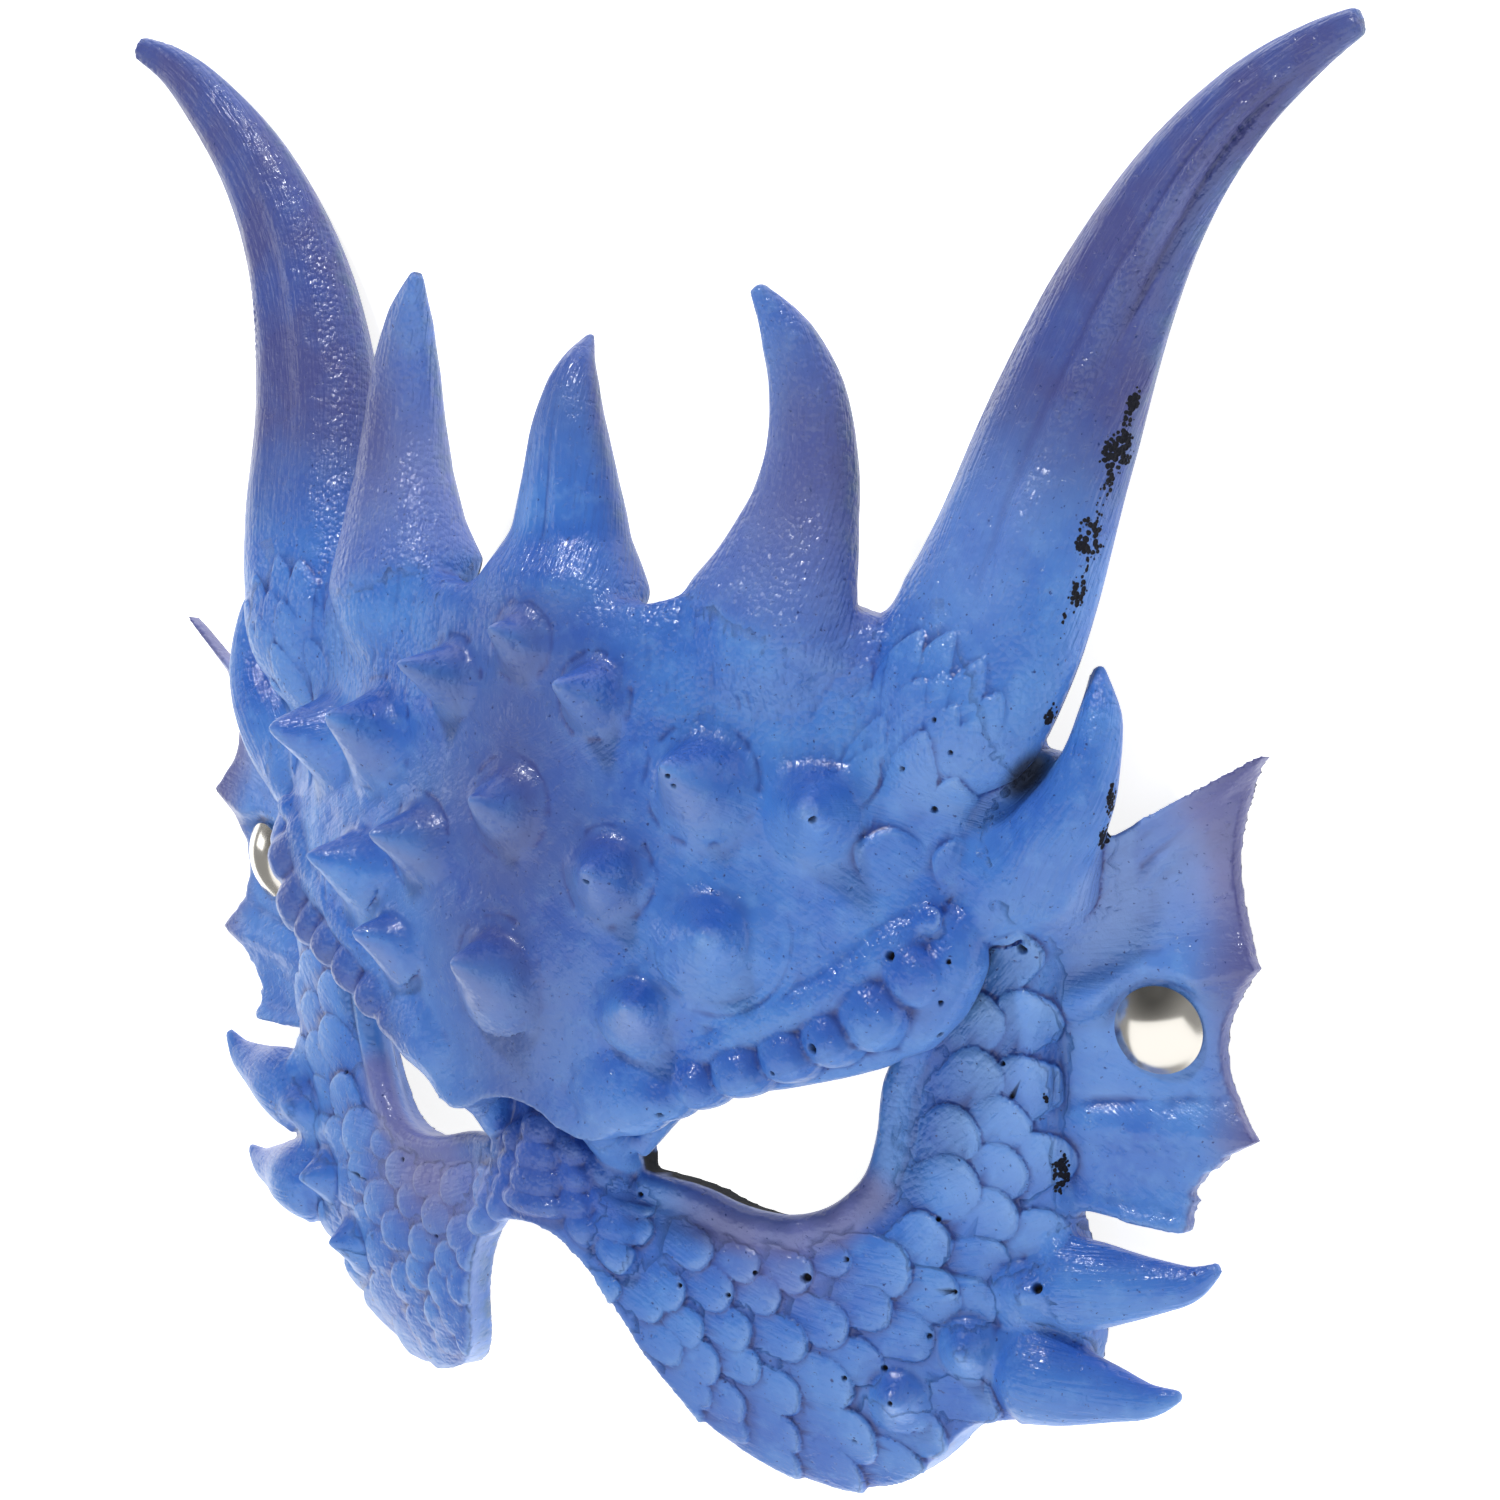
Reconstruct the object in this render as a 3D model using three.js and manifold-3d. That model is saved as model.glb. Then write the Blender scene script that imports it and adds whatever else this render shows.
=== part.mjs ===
// Half-face dragon mask of moulded, skinned foam, with a domed rivet through each side fin.
// Millimetres. The parts are drawn in the face's own frame: x to the viewer's right, y up the
// face and z out of it. At the end the mask is laid on its back, with +Z up.
import * as THREE from 'three';
import { mergeVertices } from 'three/addons/utils/BufferGeometryUtils.js';
import Module from 'manifold-3d';

const wasm = await Module();
wasm.setup();

// Driving dimensions
const wall = 6.5;
const leanDegrees = 7.3;
const crownHeight = 24.5;
const crownFall = 0.0037;
const crownRounding = 4;
const browSink = 6;
const cheekHeight = 2;
const cheekFall = 0.0027;
const cheekTwist = 0.17;
const chinTuck = 12;
const socketDepth = 6;
const bridgeHeight = 7.6;
const bridgeHalfWidth = 17;
const finThickness = 3.2;
const finEdgeThickness = 2;
const finRibHeight = 1.6;
const rivetCapRadius = 7.6;
const rivetDomeHeight = 2.7;
const rivetRimHeight = 0.9;
const rivetPostRadius = 2;
const rivetFlangeRadius = 6;
const rivetFlangeThickness = 1;
const clearance = 0.3;

const foam = new THREE.MeshStandardMaterial({ color: 0x3f74c8, roughness: 0.5, metalness: 0 });
const nickel = new THREE.MeshStandardMaterial({ color: 0xd9d7d0, roughness: 0.12, metalness: 1 });

const { smoothstep, degToRad } = THREE.MathUtils;
const vec = (x, y, z) => new THREE.Vector3(x, y, z);
const sides = [1, -1];

// Solids: a closed geometry becomes a manifold, and a manifold becomes a geometry

function solidOf(geometry) {
  const bare = geometry.clone();
  bare.deleteAttribute('normal');
  bare.deleteAttribute('uv');
  const merged = mergeVertices(bare, 1e-4);
  const mesh = new wasm.Mesh({
    numProp: 3,
    vertProperties: new Float32Array(merged.attributes.position.array),
    triVerts: new Uint32Array(merged.index.array),
  });
  return new wasm.Manifold(mesh);
}

function geometryOf(solid) {
  const mesh = solid.getMesh();
  const geometry = new THREE.BufferGeometry();
  geometry.setAttribute('position', new THREE.BufferAttribute(mesh.vertProperties, 3));
  geometry.setIndex(new THREE.BufferAttribute(mesh.triVerts, 1));
  geometry.computeVertexNormals();
  return geometry;
}

const join = (solids) => solids.reduce((whole, solid) => whole.add(solid));

// The other half: x changes sign, and each triangle is turned round to keep facing out
function mirrored(geometry) {
  const other = geometry.clone();
  other.scale(-1, 1, 1);
  const index = other.index;
  for (let i = 0; i < index.count; i += 3) {
    const second = index.getX(i + 1);
    index.setX(i + 1, index.getX(i + 2));
    index.setX(i + 2, second);
  }
  return other;
}

const bothSides = (geometry) => [solidOf(geometry), solidOf(mirrored(geometry))];

// Values given at a few stations from 0 to 1 along a part, read off by straight lines between them
function along(values, t) {
  const place = Math.min(Math.max(t, 0), 1) * (values.length - 1);
  const low = Math.min(Math.floor(place), values.length - 2);
  return values[low] + (values[low + 1] - values[low]) * (place - low);
}

// A horn, spike or roll: rings of the given radii along a curve. Each ring's depth is its
// width times the flatness, less behind the root. A groove narrows it at the front.
function horn({ path, radii, steps, ring, flatness = 1, rootBack = flatness, groove = 0 }) {
  const curve = new THREE.CatmullRomCurve3(path.map((point) => vec(...point)), false, 'centripetal');
  const geometry = new THREE.CylinderGeometry(1, 1, 1, ring, steps);
  const position = geometry.attributes.position;
  const front = vec(0, 0, 1);
  for (let i = 0; i < position.count; i += 1) {
    const t = position.getY(i) + 0.5;
    const sideways = position.getX(i);
    const forward = position.getZ(i);
    const tangent = curve.getTangentAt(t);
    const across = vec().crossVectors(tangent, front).normalize();
    const depth = vec().crossVectors(across, tangent);
    const angle = Math.atan2(sideways, forward);
    const notch = 1 - groove * Math.sin(Math.PI * t) * Math.exp(-((angle / 0.4) ** 2));
    const radius = along(radii, t) * notch;
    const back = rootBack + (flatness - rootBack) * smoothstep(t, 0.15, 0.55);
    const centre = curve.getPointAt(t);
    centre.addScaledVector(across, sideways * radius);
    centre.addScaledVector(depth, forward * radius * (forward < 0 ? back : flatness));
    position.setXYZ(i, centre.x, centre.y, centre.z);
  }
  return geometry;
}

// A sheet between a front and a back surface over a rectangle of the face
function sheet({ halfWidth, low, high, columns, rows, front, back }) {
  const geometry = new THREE.BoxGeometry(2 * halfWidth, high - low, 2, columns, rows, 1);
  geometry.translate(0, (high + low) / 2, 0);
  const position = geometry.attributes.position;
  for (let i = 0; i < position.count; i += 1) {
    const x = position.getX(i);
    const y = position.getY(i);
    position.setZ(i, position.getZ(i) > 0 ? front(x, y) : back(x, y));
  }
  return solidOf(geometry);
}

// A straight-sided block of the given outline, from far behind the face to far in front
function block(points) {
  const shape = new THREE.Shape(points.map(([x, y]) => new THREE.Vector2(x, y)));
  const geometry = new THREE.ExtrudeGeometry(shape, { depth: 160, bevelEnabled: false });
  geometry.translate(0, 0, -80);
  return solidOf(geometry);
}

// Outlines on the face are given for the right half, from the midline round to the midline
const wholeOutline = (half) => [
  ...half,
  ...half.filter(([x]) => x > 0).reverse().map(([x, y]) => [-x, y]),
];

// Surfaces of the face

// The cheeks fall away to the sides and to the chin lobes, and sink round the eyes. The nose
// bridge stands out between them.
function cheekSurface(x, y) {
  const wide = Math.abs(x);
  const twist = cheekTwist * (wide / 90) ** 2 * (y + 57);
  const chin = chinTuck * (Math.max(-70 - y, 0) / 30) ** 2;
  const socket = socketDepth * Math.exp(-(((wide - 40) / 23) ** 2) - ((y + 42) / 13) ** 2);
  const bridge = bridgeHeight * Math.exp(-((x / bridgeHalfWidth) ** 2));
  return cheekHeight - cheekFall * x * x + twist - chin - socket + bridge;
}

// The forehead is a shield that stands over the eyes and rounds down to the crown
function foreheadSurface(x, y) {
  const crown = crownRounding * smoothstep(y, 44, 60);
  const brow = browSink * smoothstep(-y, 5, 40);
  return crownHeight - crownFall * x * x - crown - brow;
}

// Lower edge of the forehead, from the nose to the temple
const browEdge = [
  [0, -32], [6, -34], [11, -40], [18, -42], [26, -38], [38, -31], [54, -22], [67, -13], [75, -4], [78, 8],
  [84, 20], [91, 33],
];
// Over the eyes and behind the crown the forehead is as thin as the wall. At the temples it
// thickens until its back is level with the back of the cheeks.
function foreheadBack(x, y) {
  const front = foreheadSurface(x, y);
  const temple = smoothstep(Math.abs(x), 56, 70);
  return front - wall + (Math.min(cheekSurface(x, y), front) - front) * temple;
}

function forehead() {
  const shield = sheet({
    halfWidth: 92, low: -45, high: 60, columns: 10, rows: 8,
    front: foreheadSurface, back: foreheadBack,
  });
  const outline = wholeOutline([...browEdge, [84, 46], [61, 53], [41, 58], [21.5, 51], [0, 58]]);
  return shield.intersect(block(outline));
}

// Eye holes: almond below, open up to the brow above
const eyeLowerLid = [
  [17, -48.5], [27, -50], [36, -52.5], [46, -52.5], [54, -49], [60, -42], [63, -33], [64.5, -24],
];
const eyeHole = [...eyeLowerLid, [66, -14], [58, -6], [26, -24], [16, -38]];

function cheeks() {
  const lower = sheet({
    halfWidth: 98, low: -101, high: 34, columns: 14, rows: 11,
    front: cheekSurface, back: (x, y) => cheekSurface(x, y) - wall,
  });
  const outline = wholeOutline([
    [0, -60.5], [5, -62], [10.5, -66.5], [16, -73], [21.5, -82], [27, -89], [33, -95], [42, -99], [54, -100],
    [62, -97], [70, -91], [78, -83], [91, -79], [96, -68], [96, -55], [93, -43], [90, -25], [90, -5],
    [95, 14], [92, 33], [76, 30], [70, 0], [58, -10], [30, -26], [12, -26], [0, -22],
  ]);
  const holes = sides.map((side) => block(eyeHole.map(([x, y]) => [side * x, y])));
  return holes.reduce((whole, hole) => whole.subtract(hole), lower.intersect(block(outline)));
}

// A smooth raised rim runs along the lower lid
function eyeRim() {
  const path = eyeLowerLid.map(([x, y]) => [x + 0.4, y - 2.2, cheekSurface(x, y - 2) - 1.2]);
  path.push([70, -15, cheekSurface(70, -15) - 1]);
  return horn({ path, radii: [2, 3, 3.2, 3.2, 3], steps: 11, ring: 5 });
}

// Wrinkled folds over the nose bridge, between the eyes
function noseFolds() {
  const rows = [-40, -47, -54];
  return rows.map((y, row) => {
    const reach = 12 + 1.5 * row;
    const path = [-1, -0.5, 0, 0.5, 1].map((share) => {
      const x = share * reach;
      const height = y - 4 * share * share;
      return [x, height, cheekSurface(x, height) + 1.4 - 2 * share * share];
    });
    return solidOf(horn({ path, radii: [0.8, 2.4, 3, 2.4, 0.8], steps: 5, ring: 5 }));
  });
}

// The sides of the nose bridge run up into the brow from the inner corners of the eyes
function noseWing() {
  const path = [[15.5, -51, -1], [14.5, -45, 4], [14, -38, 10], [14, -31, 15]];
  return horn({ path, radii: [1.5, 4.2, 5.5, 3], steps: 4, ring: 6 });
}

// Horns: paths and half widths from root to tip. The roots lie inside the face.
const bigHorn = {
  path: [
    [64, 25, 3], [73, 42, -0.5], [80.3, 59.5, -2.7], [85.9, 82.7, -5.3], [94.5, 106.3, -5.4],
    [105.9, 124.9, -3.5], [118.8, 138, -1.4], [131, 146.2, -0.6], [139.2, 149.6, 1],
  ],
  radii: [7, 16.5, 16.6, 15.2, 13.8, 11.8, 9.6, 7.4, 5.2, 2.4],
  steps: 11, ring: 10, flatness: 0.62, rootBack: 0.4, groove: 0.16,
};
const midHorn = {
  path: [
    [36, 34, 15.5], [42, 47, 10], [45.5, 60, 9.4], [47.7, 76, 9], [46.8, 89, 10.8], [43.5, 98.6, 14],
    [39.4, 105.4, 17.4],
  ],
  radii: [5, 15, 18, 13.6, 10.4, 8.6, 7.2, 5, 1.4],
  steps: 9, ring: 10, flatness: 0.7, rootBack: 0.3, groove: 0.1,
};
const centreHorn = {
  path: [[0, 36, 20], [0, 49, 14.5], [0, 60, 14], [0, 70, 15.4], [0, 82, 17], [0, 91, 16], [0, 96.6, 13]],
  radii: [5, 15, 18.5, 12.2, 9.8, 7.8, 5, 0.7],
  steps: 9, ring: 10, flatness: 0.7, rootBack: 0.3, groove: 0.08,
};
const sideHorn = {
  path: [[80, 4, -9], [86, 12, -5.5], [92.5, 20.5, -4.5], [98, 29, -5], [99.6, 39, -5.5], [98.2, 48.4, -6]],
  radii: [3, 8, 9.2, 8.4, 6.2, 4.2, 1.6],
  steps: 8, ring: 8, flatness: 0.85,
};
const upperSpike = {
  path: [[86, -57, -22], [97, -55, -21.5], [108, -53.3, -23.8], [115, -51.5, -25], [120, -47.8, -25.4]],
  radii: [2, 8.6, 7.2, 5.2, 3.4, 1],
  steps: 6, ring: 7, flatness: 0.75,
};
const lowerSpike = {
  path: [[80, -72, -21.5], [91, -72.5, -21.5], [101, -73, -25], [108, -73, -26.8], [113.5, -71, -28]],
  radii: [2, 8.8, 7.4, 5.4, 3.4, 1],
  steps: 6, ring: 7, flatness: 0.75,
};

// Cones: a flared foot and a blunt tip, leaning a little up and out. The profile is in shares of
// the foot's radius and of the length from foot to tip.
const coneProfile = [[0, -0.25], [1.4, -0.2], [0.82, 0.17], [0.2, 0.86], [0, 1]];

function cone([x, y], tip, footRadius, surface) {
  const foot = vec(x, y, surface(x, y));
  const axis = vec(...tip).sub(foot);
  const length = axis.length();
  const profile = coneProfile.map(([wide, tall]) => new THREE.Vector2(wide * footRadius, tall * length));
  const geometry = new THREE.LatheGeometry(profile, 7);
  geometry.applyQuaternion(new THREE.Quaternion().setFromUnitVectors(vec(0, 1, 0), axis.normalize()));
  geometry.translate(foot.x, foot.y, foot.z);
  return geometry;
}

// Foot, tip and foot radius of each forehead cone, then of each cheek cone
const midlineCones = [
  [[0, 42.6], [0, 44.8, 33.2], 6.2], [[0, 14], [0, 15.3, 34.5], 8], [[0, -15], [0, -12.6, 35.6], 9],
];
const pairedCones = [
  [[16.8, 35], [18.4, 37, 36], 6.6], [[38.3, 22.6], [39.7, 25.6, 31.5], 9], [[58, 20], [63.6, 21, 22.6], 9.2],
  [[22.6, 5], [25.6, 6.2, 32.4], 7.6], [[42.6, -3], [47.6, -1.6, 26], 9], [[29.4, -17], [33, -15.6, 27.6], 6.8],
];
const cheekCones = [
  [[88, -57.5], [92, -57, -13], 6.2], [[78.2, -69], [80.4, -69.5, -10], 5.8],
  [[66.6, -79.5], [68.6, -80, -8], 5.6],
];

function cones() {
  const rowOf = (rows, surface) => rows.map(([foot, tip, radius]) => cone(foot, tip, radius, surface));
  return [
    ...rowOf(midlineCones, foreheadSurface).map(solidOf),
    ...rowOf(pairedCones, foreheadSurface).flatMap(bothSides),
    ...rowOf(cheekCones, cheekSurface).flatMap(bothSides),
  ];
}

// Brow: a row of blocks under a soft ridge, and a smooth lobe beside the nose root. Each row
// gives a block's place, half sizes and turn in degrees.
const browBlockRows = [
  [32.4, -32.4, 3.7, 3.6, 22], [38.7, -28.6, 4.4, 4.4, 25], [46.2, -25, 4.9, 4.8, 24],
  [54.3, -21.2, 4.7, 4.8, 26], [61.2, -17.4, 4.5, 5, 36], [67.6, -11.4, 6.2, 6.2, 48], [73.4, -3.4, 6, 6, 64],
];
const browBlockDepth = 5.2;
const browSeat = 3.3;

function pebble(x, y, halfWide, halfTall, turn) {
  const geometry = new THREE.SphereGeometry(1, 6, 4);
  geometry.scale(halfWide, halfTall, browBlockDepth);
  geometry.rotateZ(degToRad(turn));
  geometry.translate(x, y, foreheadSurface(x, y) - browSeat);
  return geometry;
}

function brow() {
  const lobe = pebble(22, -31, 10.8, 8.8, 8);
  const ridgeLine = [[30, -26.5], [40, -22.2], [47.3, -17.4], [57.4, -12], [65.1, -5.9], [73.5, 5]];
  const path = ridgeLine.map(([x, y]) => [x, y, foreheadSurface(x, y) - browSeat]);
  const ridge = horn({ path, radii: [2, 3.4, 4.1, 4.3, 4.3, 4, 3.4, 2], steps: 6, ring: 5 });
  return [ridge, lobe, ...browBlockRows.map((row) => pebble(...row))].flatMap(bothSides);
}

// Fins: a thin web on three ribs, with a scalloped outer edge
const finRoot = [[96, 14, -12.5], [88.5, -10, -16], [89, -29.5, -19.5], [91, -43, -22]];
const finPoints = [[126.5, 35.4, -12.6], [124, 2.1, -21.4], [124, -26.5, -25.6], [113.4, -44, -26.6]];
const finBays = finPoints.length - 1;
const scallop = [7, 7.5, 5.5];
const scallopSag = [2.6, 1.2, 0.4];

function finEdge(v) {
  const bay = Math.min(Math.floor(v * finBays), finBays - 1);
  const share = v * finBays - bay;
  const edge = vec(...finPoints[bay]).lerp(vec(...finPoints[bay + 1]), share);
  const bow = 4 * share * (1 - share);
  edge.x -= scallop[bay] * bow;
  edge.z -= scallopSag[bay] * bow;
  return edge;
}

function fin() {
  const geometry = new THREE.BoxGeometry(1, 1, 2, 3, 18, 1);
  const position = geometry.attributes.position;
  for (let i = 0; i < position.count; i += 1) {
    const u = position.getX(i) + 0.5;
    const v = 0.5 - position.getY(i);
    const onFront = position.getZ(i) > 0;
    const root = vec(...[0, 1, 2].map((axis) => along(finRoot.map((point) => point[axis]), v)));
    const place = root.lerp(finEdge(v), u);
    const toRib = Math.abs(v * finBays - Math.round(v * finBays));
    const rib = finRibHeight * Math.exp(-((toRib / 0.16) ** 2)) * (1 - 0.4 * u);
    const thick = finThickness + (finEdgeThickness - finThickness) * u;
    position.setXYZ(i, place.x, place.y, onFront ? place.z + rib : place.z - thick);
  }
  return geometry;
}

// Rivets: a domed cap on a post, with a flat flange behind the fin for a strap. The foam is
// pressed flat under the cap and behind it.
const rivetPlace = vec(106.8, -10.2, -21.2);
const rivetAxis = vec(0.27, -0.2, 0.94).normalize();

function onRivetAxis(geometry) {
  geometry.applyQuaternion(new THREE.Quaternion().setFromUnitVectors(vec(0, 1, 0), rivetAxis));
  geometry.translate(rivetPlace.x, rivetPlace.y, rivetPlace.z);
  return geometry;
}

function rivet() {
  const under = clearance;
  const behind = -finThickness - clearance;
  const dome = Array.from({ length: 6 }, (_, i) => {
    const angle = (Math.PI / 2) * (i / 5);
    const height = under + rivetRimHeight + rivetDomeHeight * Math.cos(angle) ** 1.6;
    return [rivetCapRadius * Math.sin(angle), height];
  });
  dome[0][0] = 0;
  const stem = [
    [rivetCapRadius, under], [rivetPostRadius, under], [rivetPostRadius, behind], [rivetFlangeRadius, behind],
    [rivetFlangeRadius, behind - rivetFlangeThickness], [0, behind - rivetFlangeThickness],
  ];
  const profile = [...dome, ...stem].reverse().map(([radius, height]) => new THREE.Vector2(radius, height));
  return onRivetAxis(new THREE.LatheGeometry(profile, 18));
}

function rivetSeat() {
  const depth = 12;
  const seatRadius = rivetCapRadius + clearance;
  const front = new THREE.CylinderGeometry(seatRadius, seatRadius, depth, 24).translate(0, depth / 2, 0);
  const back = front.clone().translate(0, -depth - finThickness, 0);
  const boreRadius = rivetPostRadius + clearance;
  const bore = new THREE.CylinderGeometry(boreRadius, boreRadius, depth, 16);
  return [front, back, bore].map(onRivetAxis);
}

// The foam: everything joined, then the rivet seats cut
function maskSolid() {
  const grown = join([
    forehead(), cheeks(),
    ...[bigHorn, midHorn, sideHorn, upperSpike, lowerSpike].flatMap((shape) => bothSides(horn(shape))),
    solidOf(horn(centreHorn)),
    ...bothSides(fin()), ...bothSides(eyeRim()), ...bothSides(noseWing()),
    ...cones(), ...brow(), ...noseFolds(),
  ]);
  return rivetSeat().flatMap(bothSides).reduce((whole, seat) => whole.subtract(seat), grown);
}

// Laying down: the face frame leans back until the mask rests on the big horns' backs and on
// the rivets' flanges
const group = new THREE.Group();
const laid = new THREE.Group();
laid.rotation.x = -degToRad(leanDegrees);
group.add(laid);

const body = new THREE.Mesh(geometryOf(maskSolid()), foam);
body.name = 'mask';
laid.add(body);

const rightRivet = new THREE.Mesh(rivet(), nickel);
rightRivet.name = 'rivet_right';
laid.add(rightRivet);

const leftRivet = new THREE.Mesh(mirrored(rivet()), nickel);
leftRivet.name = 'rivet_left';
laid.add(leftRivet);

group.updateMatrixWorld(true);
const bounds = new THREE.Box3().setFromObject(group, true);
const middle = bounds.getCenter(vec());
laid.position.set(-middle.x, -middle.y, -bounds.min.z);

export default group;
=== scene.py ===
# Half-face dragon mask: one moulding of black foam, sprayed blue and violet, with a nickel rivet
# in each side fin. The mask is modelled in the face's own frame, in millimetres: x to the
# viewer's right, y up the face, z out of it. Then it is laid on its back in the model's frame.
import math

import bpy
import numpy as np
from mathutils import Matrix, Vector


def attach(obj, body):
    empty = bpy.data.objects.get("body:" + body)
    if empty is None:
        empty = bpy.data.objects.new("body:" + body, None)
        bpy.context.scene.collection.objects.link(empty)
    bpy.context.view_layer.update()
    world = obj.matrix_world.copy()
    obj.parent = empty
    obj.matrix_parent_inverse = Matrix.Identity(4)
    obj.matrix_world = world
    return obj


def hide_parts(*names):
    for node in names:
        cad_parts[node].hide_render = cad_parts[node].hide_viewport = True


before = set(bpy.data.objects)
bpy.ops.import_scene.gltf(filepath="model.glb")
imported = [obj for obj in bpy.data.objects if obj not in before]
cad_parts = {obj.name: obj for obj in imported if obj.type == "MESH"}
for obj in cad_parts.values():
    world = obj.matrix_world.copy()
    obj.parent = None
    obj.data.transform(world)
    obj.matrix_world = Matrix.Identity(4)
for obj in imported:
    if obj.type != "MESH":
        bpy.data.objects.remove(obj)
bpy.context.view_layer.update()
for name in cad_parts:
    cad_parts[name].select_set(False)

# Camera: the photograph's viewpoint, from the viewer's right, which is called the near side here.
# It was worked out from mirrored pairs of features, for an image of 1500 by 1500 pixels.
image_pixels = 1500
focal_pixels = 3532.3
lean_degrees = 7.3
face_origin = Vector((0.0, -0.023989, 0.025846))
lean = Matrix.Rotation(math.radians(-lean_degrees), 4, "X")
laid_down = Matrix.Translation(face_origin) @ lean @ Matrix.Scale(0.001, 4)

camera_place = Vector((415.489, 70.132, 468.936))
camera_right = Vector((0.76790, 0.08556, -0.63483))
camera_back = Vector((0.63093, 0.07030, 0.77265))
camera_axes = (camera_right, camera_back.cross(camera_right), camera_back)

camera_data = bpy.data.cameras.new("camera")
camera_data.sensor_width = 36.0
camera_data.lens = camera_data.sensor_width * focal_pixels / image_pixels
camera_data.clip_start = 0.01
camera_data.clip_end = 20.0
camera = bpy.data.objects.new("camera", camera_data)
bpy.context.scene.collection.objects.link(camera)
turned = Matrix([[axis[row] for axis in camera_axes] for row in range(3)]).to_4x4()
camera.matrix_world = Matrix.Translation(laid_down @ camera_place) @ lean @ turned
bpy.context.scene.camera = camera
bpy.context.scene.view_settings.view_transform = "Standard"


# Stage: a pale shooting table of opal acrylic, lit from below. Three soft boxes stand round it in a
# pale room. One upper corner of the room is dark, and the domed rivets mirror it.
def linear(code):
    channels = [int(code[i:i + 2], 16) / 255 for i in (1, 3, 5)]
    return tuple(c / 12.92 if c <= 0.04045 else ((c + 0.055) / 1.055) ** 2.4 for c in channels) + (1.0,)


def activate(piece):
    bpy.ops.object.select_all(action="DESELECT")
    piece.select_set(True)
    bpy.context.view_layer.objects.active = piece


def added(name):
    piece = bpy.context.view_layer.objects.active
    piece.name = name
    piece.data.name = name
    return piece


def add_node(tree, kind, inputs=None, out=0, **settings):
    """Adds a node with its settings and links, and gives the output that is wanted of it."""
    made = tree.nodes.new("ShaderNode" + kind)
    for key, value in settings.items():
        setattr(made, key, value)
    for key, value in (inputs or {}).items():
        if isinstance(value, bpy.types.NodeSocket):
            tree.links.new(value, made.inputs[key])
        else:
            made.inputs[key].default_value = value
    return made.outputs[out] if made.outputs else None


def new_material(name):
    material = bpy.data.materials.new(name)
    material.use_nodes = True
    material.node_tree.nodes.clear()
    return material, material.node_tree


bpy.ops.object.select_all(action="DESELECT")
just_under = -0.0005
bpy.ops.mesh.primitive_plane_add(size=8.0, location=(0.0, 0.0, just_under))
floor = added("floor")
floor_paint, tree = new_material("opal_acrylic")
white = linear("#ffffff")
shader = add_node(tree, "BsdfPrincipled", {
    "Base Color": linear("#f4f4f4"), "Roughness": 0.9, "Emission Color": white, "Emission Strength": 0.85,
})
add_node(tree, "OutputMaterial", {"Surface": shader})
floor.data.materials.append(floor_paint)

world = bpy.data.worlds.new("studio")
world.use_nodes = True
tree = world.node_tree
room = tree.nodes["Background"]
room.inputs["Color"].default_value = white
outward = add_node(tree, "TexCoord", out="Generated")
dark_corner = (-0.2, 0.6, 0.77)
to_corner = add_node(tree, "VectorMath", {0: outward, 1: dark_corner}, "Value", operation="DOT_PRODUCT")
dimmed = add_node(tree, "MapRange", {
    "Value": to_corner, "From Min": 0.6, "From Max": 0.95, "To Min": 0.36, "To Max": 0.08,
})
tree.links.new(dimmed, room.inputs["Strength"])
bpy.context.scene.world = world


def soft_box(name, place, wide, tall, watts):
    light = bpy.data.lights.new(name, "AREA")
    light.shape = "RECTANGLE"
    light.size = wide
    light.size_y = tall
    light.energy = watts
    lamp = bpy.data.objects.new(name, light)
    bpy.context.scene.collection.objects.link(lamp)
    lamp.location = place
    lamp.rotation_euler = (-Vector(place)).to_track_quat("-Z", "Y").to_euler()


soft_box("strip_above", (-0.2, 1.2, 0.85), 0.16, 0.16, 12.0)
soft_box("strip_left", (-1.5, 0.1, 0.62), 0.3, 0.6, 1.2)
soft_box("soft_box_over", (0.25, -1.3, 1.65), 4.6, 3.0, 46.0)

# The face: a curved shell about 6.5 mm thick, moulded in one with all that stands on it. Its
# forehead overhangs the eyes. The cheeks fall away to the sides and to two chin lobes.
wall = 6.5


def ramp(value, low, high):
    share = np.clip((value - low) / (high - low), 0.0, 1.0)
    return share * share * (3.0 - 2.0 * share)


def plateau(value, low, full, fading, gone):
    return ramp(value, low, full) * (1 - ramp(value, fading, gone))


def bump(value, centre, width):
    return np.exp(-((value - centre) / width) ** 2)


def cheek_z(x, y):
    wide = np.abs(x)
    twist = 0.17 * (wide / 90) ** 2 * (y + 57)
    chin = 12 * (np.maximum(-70 - y, 0) / 30) ** 2
    socket = 6 * bump(wide, 40, 23) * bump(y, -42, 13)
    bridge = 7.6 * bump(x, 0, 17)
    return 2 - 0.0027 * x * x + twist - chin - socket + bridge


def forehead_z(x, y):
    crown = 4 * ramp(y, 44, 60)
    brow = 6 * ramp(-y, 5, 40)
    return 24.5 - 0.0037 * x * x - crown - brow


def cheek_back(x, y):
    return cheek_z(x, y) - wall


def forehead_back(x, y):
    front = forehead_z(x, y)
    temple = ramp(np.abs(x), 56, 70)
    return front - wall + (np.minimum(cheek_z(x, y), front) - front) * temple


def triples(items, key):
    values = np.empty(len(items) * 3, np.float32)
    items.foreach_get(key, values)
    return values.reshape(-1, 3).astype(float)


def points_of(piece):
    return triples(piece.data.vertices, "co")


def set_points(piece, points):
    piece.data.vertices.foreach_set("co", points.astype(np.float32).ravel())
    piece.data.update()


def rows_at(at, marks, rows):
    """Rows of a table, read off between the marks that its own rows stand at."""
    return np.stack([np.interp(at, marks, column) for column in rows.T], 1)


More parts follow.
